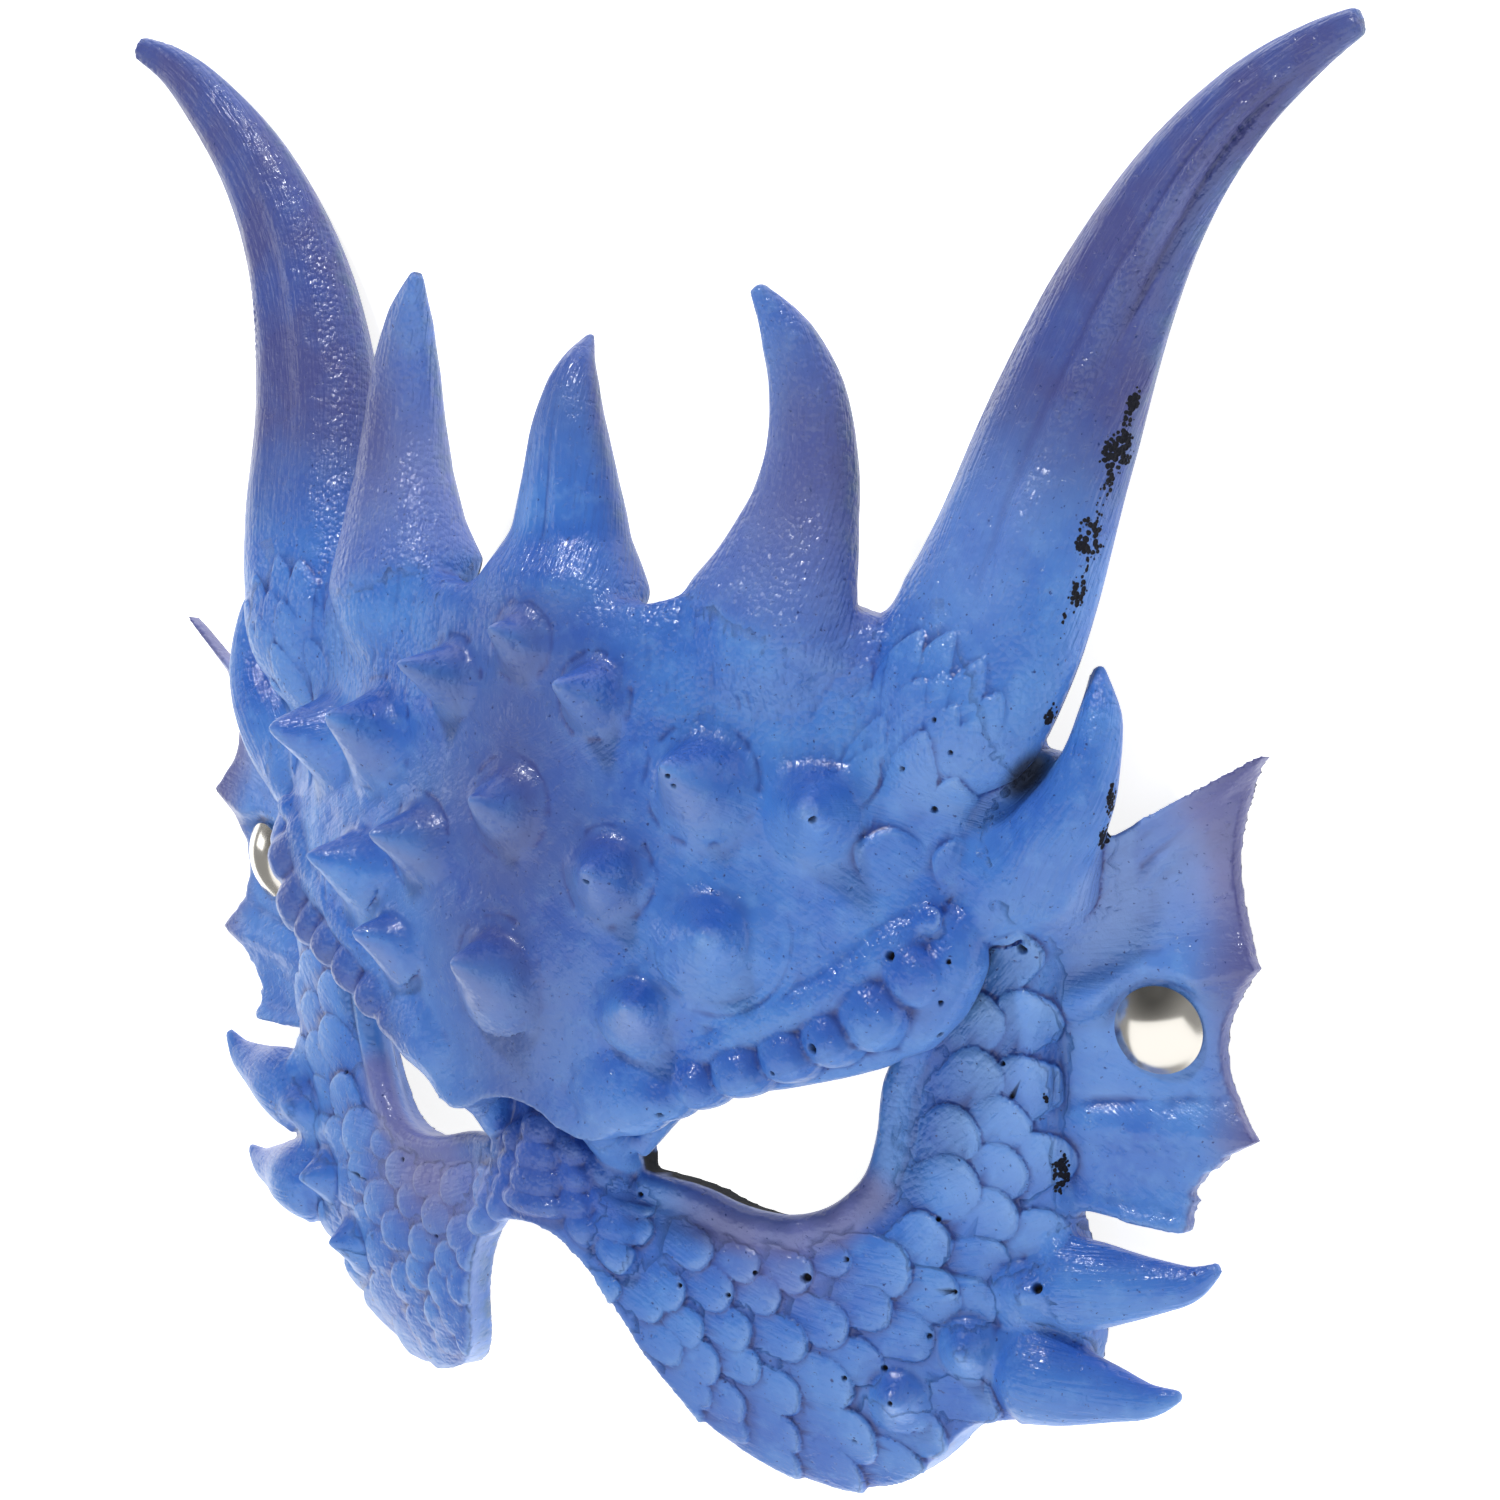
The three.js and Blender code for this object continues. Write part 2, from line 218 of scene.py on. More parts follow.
def smooth_path(points, count):
    """Stations evenly spaced along a smooth curve through the points."""
    points = np.array(points, float)
    ends = [2 * points[0] - points[1], *points, 2 * points[-1] - points[-2]]
    fine = []
    for a, b, c, d in zip(ends[:-3], ends[1:-2], ends[2:-1], ends[3:]):
        knots = np.cumsum([0.0, *(np.linalg.norm(q - p) ** 0.5 for p, q in ((a, b), (b, c), (c, d)))])
        t = np.linspace(knots[1], knots[2], 13)[:-1, None]

        def mix(p, q, low, high):
            return (p * (knots[high] - t) + q * (t - knots[low])) / (knots[high] - knots[low])

        first, second, third = mix(a, b, 0, 1), mix(b, c, 1, 2), mix(c, d, 2, 3)
        fine.append(mix(mix(first, second, 0, 2), mix(second, third, 1, 3), 1, 2))
    fine = np.vstack([*fine, points[-1:]])
    reach = np.concatenate([[0], np.cumsum(np.linalg.norm(np.diff(fine, axis=0), axis=1))])
    stations = np.linspace(0, reach[-1], count)
    return rows_at(stations, reach, fine)


def apply_modifier(piece, kind, **settings):
    activate(piece)
    modifier = piece.modifiers.new(kind.lower(), kind)
    for key, value in settings.items():
        setattr(modifier, key, value)
    bpy.ops.object.modifier_apply(modifier=modifier.name)


def grid(name, columns, rows, size=1):
    bpy.ops.object.select_all(action="DESELECT")
    bpy.ops.mesh.primitive_grid_add(x_subdivisions=columns, y_subdivisions=rows, size=size)
    return added(name)


def edit_whole(piece):
    activate(piece)
    bpy.ops.object.mode_set(mode="EDIT")
    bpy.ops.mesh.select_all(action="SELECT")


def thicken(piece, depth):
    edit_whole(piece)
    bpy.ops.mesh.extrude_region_move(TRANSFORM_OT_translate={"value": (0, 0, depth)})
    bpy.ops.object.mode_set(mode="OBJECT")


def face_out(piece):
    edit_whole(piece)
    bpy.ops.mesh.normals_make_consistent(inside=False)
    bpy.ops.object.mode_set(mode="OBJECT")


def sheet(name, half_width, low, high, front, back, spacing=2.0):
    piece = grid(name, int(2 * half_width / spacing), int((high - low) / spacing), 2)
    thicken(piece, -1)
    points = points_of(piece)
    x = points[:, 0] * half_width
    y = low + (points[:, 1] + 1) * (high - low) / 2
    z = np.where(points[:, 2] > -0.5, front(x, y), back(x, y))
    set_points(piece, np.stack([x, y, z], 1))
    face_out(piece)
    return piece


def trim(piece, outline, operation, count):
    """Cuts a sheet to a smooth closed outline, or cuts the outline out of it."""
    loop = smooth_path([*outline, outline[0]], count)[:-1]
    clear_of_face = 60.0
    mesh = bpy.data.meshes.new("cutter")
    mesh.from_pydata([(x, y, -clear_of_face) for x, y in loop], [], [range(len(loop))])
    cutter = bpy.data.objects.new("cutter", mesh)
    bpy.context.scene.collection.objects.link(cutter)
    thicken(cutter, 2 * clear_of_face)
    face_out(cutter)
    apply_modifier(piece, "BOOLEAN", operation=operation, object=cutter, solver="EXACT")
    bpy.data.objects.remove(cutter)


def whole_outline(half, far_half=None):
    """The near half, and the far one, which is its mirror image unless another is given."""
    return [*half, *[(-x, y) for x, y in reversed(far_half or half) if x > 0]]


brow_edge = [
    (0, -37.5), (6, -38.5), (11, -41), (18, -42), (26, -38), (38, -31), (54, -22), (67, -13), (75, -4),
    (78, 8), (84, 20), (87, 31),
]
crown_edge = [(84, 46), (61, 53), (41, 58), (21.5, 51), (0, 58)]
cheek_edge = [
    (0, -60.5), (5, -62), (10.5, -66.5), (16, -73), (21.5, -82), (27, -89), (33, -95), (42, -99),
    (54, -100), (62, -97), (70, -91), (78, -83), (91, -79), (96, -68), (96, -55), (93, -43), (90, -25),
    (90, -5), (95, 14), (92, 33), (76, 30), (70, 0), (58, -10), (30, -26), (12, -26), (0, -22),
]
# The nose arch was trimmed wider and squarer on the far cheek than on the near one
squarer_arch = [
    (5, -61), (11, -62), (16.5, -64.5), (20, -70), (22.4, -78), (24, -85), (27, -91), (33, -96),
]
far_cheek_edge = [cheek_edge[0], *squarer_arch, *cheek_edge[7:]]
lower_lid = [
    (17, -48.5), (27, -50), (36, -52.5), (46, -52.5), (54, -49), (60, -42), (63, -33), (64.5, -24),
]
eye_hole = [*lower_lid, (66, -14), (58, -6), (26, -24), (16, -38)]

forehead = sheet("forehead", 92, -45, 60, forehead_z, forehead_back)
trim(forehead, whole_outline([*brow_edge, *crown_edge]), "INTERSECT", 240)
cheeks = sheet("cheeks", 98, -101, 34, cheek_z, cheek_back)
trim(cheeks, whole_outline(cheek_edge, far_cheek_edge), "INTERSECT", 400)
for side in (1, -1):
    trim(cheeks, [(side * x, y) for x, y in eye_hole], "DIFFERENCE", 90)
face_parts = [forehead, cheeks]


# Horns, spikes and rolled rims: round or flattened forms that taper along a curve. Each is
# a strip of rings wrapped into a tube, closed at both ends.
def side_and_front(tangents):
    """Unit directions across a path and out of the face, both square to the path."""
    tangents = tangents / np.linalg.norm(tangents, axis=1)[:, None]
    across = np.cross(tangents, [0.0, 0.0, 1.0])
    across /= np.linalg.norm(across, axis=1)[:, None]
    return across, np.cross(across, tangents)


def tube(name, path, radii, ring=28, steps=40, flatness=1.0, root_back=None, groove=0.0):
    root_back = flatness if root_back is None else root_back
    piece = grid(name, ring, steps)
    flat = points_of(piece) + 0.5
    angle = 2 * math.pi * flat[:, 0]
    t = flat[:, 1]
    stations = smooth_path(path, steps * 4 + 1)
    share = np.linspace(0, 1, len(stations))
    centre = rows_at(t, share, stations)
    across, depth = side_and_front(rows_at(t, share, np.gradient(stations, axis=0)))
    signed = np.arctan2(np.sin(angle), np.cos(angle))
    notch = 1 - groove * np.sin(math.pi * t) * bump(signed, 0, 0.4)
    radius = np.interp(t, np.linspace(0, 1, len(radii)), radii) * notch
    back = root_back + (flatness - root_back) * ramp(t, 0.15, 0.55)
    forward = np.cos(angle)
    deep = forward * np.where(forward < 0, back, flatness)
    points = centre + across * (np.sin(angle) * radius)[:, None] + depth * (deep * radius)[:, None]
    set_points(piece, points)
    edit_whole(piece)
    bpy.ops.mesh.remove_doubles(threshold=0.001)
    bpy.ops.mesh.select_all(action="DESELECT")
    bpy.ops.mesh.select_non_manifold()
    bpy.ops.mesh.fill_holes(sides=0)
    bpy.ops.object.mode_set(mode="OBJECT")
    face_out(piece)
    return piece


def mirrored(piece):
    activate(piece)
    bpy.ops.object.duplicate()
    twin = added(piece.name + "_left")
    points = points_of(twin)
    points[:, 0] *= -1
    set_points(twin, points)
    face_out(twin)
    return twin


def add_pair(*parts):
    for part in parts:
        face_parts.extend([part, mirrored(part)])


horns = {
    "big": {
        "path": [
            (65, 25, 3), (75.2, 42, -0.5), (81.4, 59.5, -2.7), (86.6, 82.7, -5.3), (94.8, 106.3, -5.4),
            (105.9, 124.9, -3.5), (118.8, 138, -1.4), (131, 146.2, -0.6), (139.2, 149.6, 1.0),
        ],
        "radii": [8, 18.8, 17.9, 15.9, 14.2, 12, 9.6, 7.4, 5.2, 2.4],
        "flatness": 0.62, "root_back": 0.4, "groove": 0.16,
    },
    "mid": {
        "path": [
            (36, 34, 15.5), (42, 47, 10), (45.5, 60, 9.4), (47.7, 76, 9), (46.8, 89, 10.8),
            (43.5, 98.6, 14), (39.4, 105.4, 17.4),
        ],
        "radii": [5, 15, 18.0, 13.6, 10.4, 8.6, 7.2, 5, 1.4],
        "flatness": 0.7, "root_back": 0.3, "groove": 0.1,
    },
    "centre": {
        "path": [
            (0, 36, 20), (0, 49, 14.5), (0, 60, 14), (0, 70, 15.4), (0, 82, 17), (0, 91, 16),
            (0, 96.6, 13),
        ],
        "radii": [5, 15, 18.5, 12.2, 9.8, 7.8, 5, 0.7],
        "flatness": 0.7, "root_back": 0.3, "groove": 0.08,
    },
    "side": {
        "path": [
            (82, 3, -18), (87.5, 11.5, -11.5), (92.5, 20, -6.5), (98, 29, -5), (99.6, 39, -5.5),
            (98.2, 48.4, -6),
        ],
        "radii": [5, 9.5, 10.4, 9, 7, 5.2, 4, 1.2], "flatness": 0.85,
    },
    "upper_spike": {
        "path": [
            (86, -57, -22), (97, -55, -21.5), (108, -53.3, -23.8), (115, -51.5, -25), (120, -47.8, -25.4),
        ],
        "radii": [2, 8.6, 7.2, 5.2, 3.4, 1.0], "flatness": 0.75,
    },
    "lower_spike": {
        "path": [
            (80, -72, -21.5), (91, -72.5, -21.5), (101, -73, -25), (108, -73, -26.8), (113.5, -71, -28),
        ],
        "radii": [2, 8.8, 7.4, 5.4, 3.4, 1.0], "flatness": 0.75,
    },
}
for name, shape in horns.items():
    horn = tube(name + "_horn", **shape)
    face_parts.append(horn)
    if name != "centre":
        face_parts.append(mirrored(horn))


# The temple swells up to the side horn's root. The swelling is a pebble: a ball stretched to size,
# turned, and squared off where that is asked for.
def pebble(name, place, size, turn, squareness=0.8):
    bpy.ops.object.select_all(action="DESELECT")
    bpy.ops.mesh.primitive_uv_sphere_add(segments=40, ring_count=24, radius=1)
    piece = added(name)
    points = points_of(piece)
    points = np.sign(points) * np.abs(points) ** squareness
    turned = Matrix.Rotation(math.radians(turn), 3, "Z")
    points = (points * np.array(size)) @ np.array(turned).T + np.array(place)
    set_points(piece, points)
    return piece


add_pair(pebble("temple_swell", (84, 13, -6.5), (9.5, 13, 7.5), -24, 1.0))

# Cones: blunt straight-sided studs, three down the midline, six each side of it, and three small
# ones low on each cheek. Each is given by its foot, its tip and its foot's radius.
midline_cones = [
    ((0, 42.6), (0, 44.8, 33.2), 6.2), ((0, 14.0), (0, 15.3, 34.5), 8.0),
    ((0, -15.0), (0, -12.6, 35.6), 9.0),
]
forehead_cones = [
    ((16.8, 35.0), (18.4, 37.0, 36.0), 6.6), ((38.3, 22.6), (39.7, 25.6, 31.5), 9.0),
    ((58.0, 20.0), (63.6, 21.0, 22.6), 9.2), ((22.6, 5.0), (25.6, 6.2, 32.4), 7.6),
    ((42.6, -3.0), (47.6, -1.6, 26.0), 9.0), ((29.4, -17.0), (33.0, -15.6, 27.6), 6.8),
]
cheek_cones = [
    ((88.0, -57.5), (92.0, -57.0, -13.0), 6.2), ((78.2, -69.0), (80.4, -69.5, -10.0), 5.8),
    ((66.6, -79.5), (68.6, -80.0, -8.0), 5.6),
]
cone_profile = [1.25, 1.15, 0.98, 0.81, 0.68, 0.55, 0.43, 0.31, 0.2, 0.04]


def cone(foot, tip, radius, surface):
    base = np.array([*foot, surface(*foot)])
    tip = np.array(tip, float)
    axis = tip - base
    path = [base - 0.25 * axis, base + 0.4 * axis + np.array([0.01, 0, 0]), tip]
    return tube("cone", path, [radius * share for share in cone_profile], ring=32, steps=32)


for foot, tip, radius in midline_cones:
    face_parts.append(cone(foot, tip, radius, forehead_z))
for foot, tip, radius in forehead_cones:
    add_pair(cone(foot, tip, radius, forehead_z))
for foot, tip, radius in cheek_cones:
    add_pair(cone(foot, tip, radius, cheek_z))


# Brow: flat-fronted blocks side by side under a soft ridge along the forehead's edge, then a
# smooth lobe on each side of the nose root and a small dome on the outer end
brow_blocks = [
    (32.4, -32.4, 3.7, 3.6, 22), (38.7, -28.6, 4.4, 4.4, 25), (46.2, -25.0, 4.9, 4.8, 24),
    (54.3, -21.2, 4.7, 4.8, 26), (61.2, -17.4, 4.5, 5.0, 36), (67.6, -12.2, 6.0, 6.4, 48),
    (73.4, -4.6, 5.2, 6.4, 58),
]
for x, y, half_wide, half_tall, turn in brow_blocks:
    size = (half_wide, half_tall, 6.0)
    add_pair(pebble("brow_block", (x, y, forehead_z(x, y) - 2.6), size, turn, 0.78))
ridge_line = [(30, -26.5), (40, -22.2), (47.3, -17.4), (57.4, -12), (65.1, -5.9), (71, 0.5), (76.6, 6)]
ridge_path = [(x, y, forehead_z(x, y) - 2.9) for x, y in ridge_line]
ridge = tube("brow_ridge", ridge_path, [2, 3.4, 4.1, 4.3, 4.3, 4.3, 4.4, 3], ring=20, steps=50)
brow_end_path = [(66, -20, -3), (72.5, -13, -2), (77.5, -4, -2), (80, 6, -1.5)]
brow_end = tube("brow_end", brow_end_path, [1.5, 4.8, 6, 6, 3], steps=24)

# The upper lid: the smooth rolled edge that the blocks sit on, deeper than the forehead
upper_lid = [
    (19.5, -44.6, 4.6), (22.8, -39.6, 5.4), (25.3, -36, 6), (29.5, -32.6, 6.4), (35, -29.8, 6.8),
    (42.2, -26.8, 6.8), (49.3, -25, 5), (56, -22.8, 3), (62.4, -20.5, 0.5), (67.8, -18, -1.5),
    (73, -13.5, -3),
]
add_pair(tube("upper_lid", upper_lid, [1.5, 3.2, 3.4, 3.4, 3.4, 3.4, 3.2, 2.2], ring=20, steps=50))
lobe = pebble("nose_root_lobe", (22.0, -31.0, forehead_z(22, -31) - 4.2), (11.5, 9.4, 6.0), 8)
dome = pebble("brow_dome", (76.8, 4.6, forehead_z(76.8, 4.6) + 1.6), (2.3, 2.3, 2.0), 0, 1.0)
add_pair(ridge, brow_end, lobe, dome)

# Nose bridge: four knuckles on the midline, with nodes and slanting folds beside them, and a roll
# on each side that runs from the inner corner of the eye up under the brow
knuckles = [(-43.4, 3.8, 3.0), (-48.3, 4.8, 2.9), (-52.9, 5.7, 2.8), (-56.8, 7.2, 2.0)]
for y, half_wide, half_tall in knuckles:
    place = (0, y, cheek_z(0, y) - 1.2)
    knuckle = pebble("nose_knuckle", place, (half_wide, half_tall, 3.8), 0, 0.7)
    x = half_wide + 2.4
    node = pebble("nose_node", (x, y - 2.6, cheek_z(x, y - 2.6) - 1.2), (3.6, 2.6, 3.4), -35, 0.75)
    fold_path = [
        (x + 1.6, y - 3.4, cheek_z(x + 1.6, y) - 1.4),
        (x + 5.0, y - 5.6, cheek_z(x + 5.0, y) - 0.6),
        (x + 10.0, y - 9.4, cheek_z(x + 10.0, y - 6) - 1.2),
    ]
    fold = tube("nose_fold", fold_path, [1.0, 2.7, 3.2, 2.8, 1.2], ring=20, steps=20)
    face_parts.append(knuckle)
    add_pair(node, fold)
wing_path = [(15.5, -51, -1), (14.5, -45, 4), (14, -38, 10), (14, -31, 15)]
add_pair(tube("nose_wing", wing_path, [1.5, 4.2, 5.5, 3], ring=20, steps=16))

# Eye rim: a smooth roll along the lower lid and up the outer side of the hole
rim_path = [(x + 0.4, y - 2.2, cheek_z(x, y - 2) - 1.2) for x, y in lower_lid]
rim_path.append((70, -15, cheek_z(70, -15) - 1))
add_pair(tube("eye_rim", rim_path, [2, 3, 3.2, 3.2, 3], ring=20, steps=50))

# Fins: thin webs on three ribs with a scalloped outer edge, moulded with the face. Round each
# rivet the web is pressed flat.
fin_root = [(97.5, 19, -11.5), (88.5, -10, -16), (89, -29.5, -19.5), (91, -43, -22)]
fin_points = [(127.2, 37.6, -12.6), (124, 2.1, -21.4), (124, -26.5, -25.6), (113.4, -44, -26.6)]
scallop = [7, 7.5, 5.5]
scallop_sag = [2.6, 1.2, 0.4]
fin_bays = len(fin_points) - 1
rivet_place = np.array([106.8, -10.2, -21.2])
rivet_axis = np.array([0.27, -0.2, 0.94])
rivet_axis /= np.linalg.norm(rivet_axis)
fin_root_thickness = 4.4
fin_edge_thickness = 3.2


def fin_surface(u, v):
    """The fin's front skin: u from root to edge, v from its top rib to its lowest corner."""
    bay = np.minimum((v * fin_bays).astype(int), fin_bays - 1)
    share = v * fin_bays - bay
    corners = np.array(fin_points)
    edge = corners[bay] + (corners[bay + 1] - corners[bay]) * share[:, None]
    bow = 4 * share * (1 - share)
    edge[:, 0] -= np.array(scallop)[bay] * bow
    edge[:, 2] -= np.array(scallop_sag)[bay] * bow
    root = rows_at(v, np.linspace(0, 1, len(fin_root)), np.array(fin_root))
    place = root + (edge - root) * u[:, None]
    to_rib = np.abs(v * fin_bays - np.round(v * fin_bays))
    lane = v * fin_bays
    swell = 1.8 * bump(to_rib, 0, 0.13) * (1 - 0.35 * u) * np.where(np.round(lane) == 2, 0.5, 1.0)
    top_folds = 2.1 * bump(lane, 0.62 - 0.5 * u, 0.075) + 1.6 * bump(lane, 0.3 - 0.24 * u, 0.06)
    crease_above = -1.3 * bump(lane, 1.78, 0.06) * ramp(u, 0.05, 0.3)
    place[:, 2] += swell + top_folds * (1 - u) + crease_above * (1 - 0.5 * u)
    return place


fin = grid("fin", 24, 120)
thicken(fin, -1)
flat = points_of(fin)
u = np.clip(flat[:, 0] + 0.5, 0, 1)
skin = fin_surface(u, np.clip(0.5 - flat[:, 1], 0, 1))
chips = np.sin(flat[:, 1] * 61) * np.sin(flat[:, 1] * 23 + 1) * np.sin(flat[:, 1] * 131)
low_edge = 0.15 + 0.85 * ramp(-flat[:, 1], 0.1, 0.3)
skin[:, 0] += 1.3 * chips * low_edge * ramp(u, 0.9, 1.0)
back_of_fin = fin_root_thickness + (fin_edge_thickness - fin_root_thickness) * u
skin[:, 2] -= np.where(flat[:, 2] < -0.5, back_of_fin, 0)
set_points(fin, skin)
face_out(fin)
bore_radius = 2.3
bpy.ops.object.select_all(action="DESELECT")
along_axis = Vector(rivet_axis).to_track_quat("Z", "Y").to_euler()
bpy.ops.mesh.primitive_cylinder_add(
    vertices=48, radius=bore_radius, depth=30, location=rivet_place, rotation=along_axis)
punch = added("punch")
bpy.ops.object.transform_apply(location=True, rotation=True, scale=True)
apply_modifier(fin, "BOOLEAN", operation="DIFFERENCE", object=punch, solver="EXACT")
bpy.data.objects.remove(punch)
add_pair(fin)

# One moulding: the forms are fused into a single skin, and the skin is rubbed smooth where
# they meet, as the clay of the pattern was
voxel = 0.55
activate(face_parts[0])
for part in face_parts:
    part.select_set(True)
bpy.ops.object.join()
mask = added("mask_foam")
apply_modifier(mask, "REMESH", mode="VOXEL", voxel_size=voxel)
apply_modifier(mask, "SMOOTH", factor=0.5, iterations=6)

# Where the skin is rubbed: how far up each horn, and round the feet of the cones, the lobes by the
# nose and the temples. Each foot is given by its place, radius and how hard it was rubbed.
blended_roots = {
    "big": 0.3, "mid": 0.42, "centre": 0.42, "side": 0.55, "upper_spike": 0.4, "lower_spike": 0.4,
}
broad_feet = [(22, -31, 12, 0.8), (84, 13, 10, 0.8)]
for foot, tip, radius in [*midline_cones, *forehead_cones]:
    broad_feet.append((*foot, radius * 1.15, 0.9 if foot[0] > 40 else 0.5))
fin_seam = [(93, -43), (90, -25), (90, -5), (96, 16)]


# Carving in the skin: the cheeks are shingled with tongue-shaped scales whose free ends lie
# over the next ones, and leaf-shaped scales climb from the temples on to the big horns.
# Each row gives the free end's place and the scale's width.
cheek_scales = [
    (21.5, -55, 5.2), (21.4, -60, 5.2), (19.2, -65.2, 5), (17, -71.2, 4.4), (32.8, -62, 6.4),
    (42, -62.4, 5.8), (51.8, -62, 6.4), (58.5, -58, 5), (37.7, -68.2, 6.6), (28.7, -70, 6.2),
    (46.6, -67, 5.8), (59, -69.6, 7.4), (66.2, -65, 7.6), (41.6, -74.2, 6.6), (32.6, -75.6, 6.2),
    (51.9, -73.8, 6.8), (64.7, -75.2, 7.6), (73, -68.7, 8), (59.5, -80, 8), (35.3, -81.6, 7.6),
    (43.2, -80, 6.6), (49.9, -83.8, 7.4), (39, -88, 7.2), (38.3, -92.7, 5.6), (48, -91.7, 7.4),
    (61.6, -89.4, 9.8), (73.4, -86, 8.4), (83.2, -78, 7), (69, -57.4, 9.2), (77.2, -60.5, 8.8),
    (83, -60.5, 8), (84.7, -52, 7.2), (79.3, -38.7, 9.2), (85.6, -43, 8.6), (93.5, -45.5, 8.2),
    (78.7, -29.2, 8.8), (86.7, -34.6, 8.8), (92, -31.5, 8.2), (86.5, -26, 9), (82, -18.3, 8.8),
    (89.8, -18.5, 9), (82.2, -8.8, 8.4), (89.8, -7.4, 8.4), (88, 4.6, 9.8), (73.4, -48, 9),
    (57, -97, 9.5), (68.5, -93.5, 9.5), (46, -97.5, 8.5), (33, -87, 6.5), (28.5, -80, 6),
    (25, -73, 5.5), (30, -91.5, 5.5),
]
temple_leaves = [
    (64, 52, 6), (73.6, 51.6, 8), (79.8, 52, 6.6), (86, 48, 6), (64, 45.6, 6), (70.3, 45.8, 6.4),
    (76, 44, 8), (80.2, 45.4, 6.2), (89, 43, 5), (77.4, 35.8, 8.6), (82.5, 40.5, 6.2),
    (81.2, 28.6, 6.6), (66.8, 32, 6), (68.4, 37.4, 6), (86, 38.6, 5),
]
humps = [(66.5, 17.5, 9), (77.5, 17.5, 8.4)]
leaf_angle = 64
hump_angle = 128


def scale_angle(x, y):
    """Which way a cheek scale points, in degrees: down at the nose, up at the outer cheek."""
    if y > -50 and x < 74:
        return 50
    return min(-30 + 0.55 * (x - 20) + 1.15 * max(y + 62, 0), 50)


def shingles(x, y, rows, angle_of, height, long=0.7, tail=1.5, power=2.4, border=0.55, spread=1.2):
    """Height of overlapping scales at x, y, with the grain's direction on the one that shows."""
    tops = np.zeros(len(x))
    turns = np.zeros(len(x))
    wide = np.abs(x)
    for tip_x, tip_y, width in rows:
        angle = math.radians(angle_of(tip_x, tip_y))
        half = width / 2 * spread
        reach = width * long
        near = (np.abs(wide - tip_x) < 2.4 * width) & (np.abs(y - tip_y) < 2.4 * width)
        dx, dy = wide[near] - tip_x, y[near] - tip_y
        u = dx * math.cos(angle) + dy * math.sin(angle) + reach
        v = -dx * math.sin(angle) + dy * math.cos(angle)
        round_end = (np.maximum(u, 0) / reach) ** power + (np.abs(v) / half) ** power
        inside = (1 - round_end ** (1 / power)) * half
        lift = np.clip((u + reach * tail) / (reach * (1 + tail)), 0, 1)
        top = height * (width / 8) ** 0.5 * lift * ramp(inside, -0.1, border)
        top *= 1 - 0.3 * (v / half) ** 2 * (np.abs(v) < half)
        over = top > tops[near]
        where = np.flatnonzero(near)[over]
        tops[where] = top[over]
        turns[where] = angle
    return tops, turns


def value_noise(points, size, seed):
    """Smooth random heights, -1 to 1, with lumps of about the given size."""
    lattice = np.random.default_rng(seed).uniform(-1, 1, (32, 32, 32))
    spots = points / np.array(size, float)
    low = np.floor(spots).astype(int)
    part = spots - low
    part = part * part * (3 - 2 * part)
    total = np.zeros(len(points))
    for corner in np.ndindex(2, 2, 2):
        share = np.prod(np.where(corner, part, 1 - part), axis=1)
        i, j, k = ((low + corner) % 32).T
        total += share * lattice[i, j, k]
    return total


def normals_of(piece):
    return triples(piece.data.vertex_normals, "vector")


def to_line(x, y, line):
    """Distance from x, y to a line of straight runs."""
    best = np.full(len(x), 1e9)
    for (ax, ay), (bx, by) in zip(line[:-1], line[1:]):
        run = (bx - ax) ** 2 + (by - ay) ** 2
        t = np.clip(((x - ax) * (bx - ax) + (y - ay) * (by - ay)) / run, 0, 1)
        best = np.minimum(best, np.hypot(x - ax - t * (bx - ax), y - ay - t * (by - ay)))
    return best


def horn_frame(points, shape, reach=1.4, steps=160):
    """Arc length, angle round the axis and nearness to the skin of a horn, near side or far."""
    path = smooth_path(shape["path"], steps)
    radii = np.interp(np.linspace(0, 1, steps), np.linspace(0, 1, len(shape["radii"])), shape["radii"])
    folded = points.copy()
    folded[:, 0] = np.abs(folded[:, 0])
    low, high = path.min(0) - 20, path.max(0) + 20
    near = np.flatnonzero(np.all((folded > low) & (folded < high), axis=1))
    spot = folded[near]
    gaps = np.full(len(near), 1e9)
    best = np.zeros(len(near), int)
    for i in range(steps):
        gap = np.linalg.norm(spot - path[i], axis=1)
        closer = gap < gaps
        gaps[closer] = gap[closer]
        best[closer] = i
    across, depth = side_and_front(np.gradient(path, axis=0))
    off = spot - path[best]
    sideways = np.sum(off * across[best], axis=1)
    forward = np.sum(off * depth[best], axis=1) / shape.get("flatness", 1.0)
    within = 1 - ramp(np.hypot(sideways, forward) / radii[best], reach - 0.25, reach)
    return near, best / (steps - 1), np.arctan2(sideways, forward), within, radii[best]


points = points_of(mask)
normals = normals_of(mask)
wide, y, front = np.abs(points[:, 0]), points[:, 1], normals[:, 2]
blend = np.zeros(len(points))
for name, root in blended_roots.items():
    near, t, angle, within, radius = horn_frame(points, horns[name], 1.9)
    within *= ramp(front[near], 0.0, 0.4)
    blend[near] = np.maximum(blend[near], (1 - ramp(t, root * 0.5, root * 1.3)) * within)
for foot_x, foot_y, radius, share in broad_feet:
    reach = np.hypot(wide - foot_x, y - foot_y)
    blend = np.maximum(blend, share * bump(reach, radius, 3.0) * (front > 0.2))
under_rim = bump(to_line(wide, y + 5.6, lower_lid), 0, 2.6)
for share in (0.8 * bump(to_line(wide, y, fin_seam), 0, 3.0), 0.6 * under_rim):
    blend = np.maximum(blend, share * (front > 0))
group = mask.vertex_groups.new(name="blended")
levels = 10
for level in range(1, levels + 1):
    chosen = np.flatnonzero(np.rint(blend * levels).astype(int) == level)
    group.add(chosen.tolist(), level / levels, "REPLACE")
apply_modifier(mask, "SMOOTH", factor=0.5, iterations=130, vertex_group="blended")
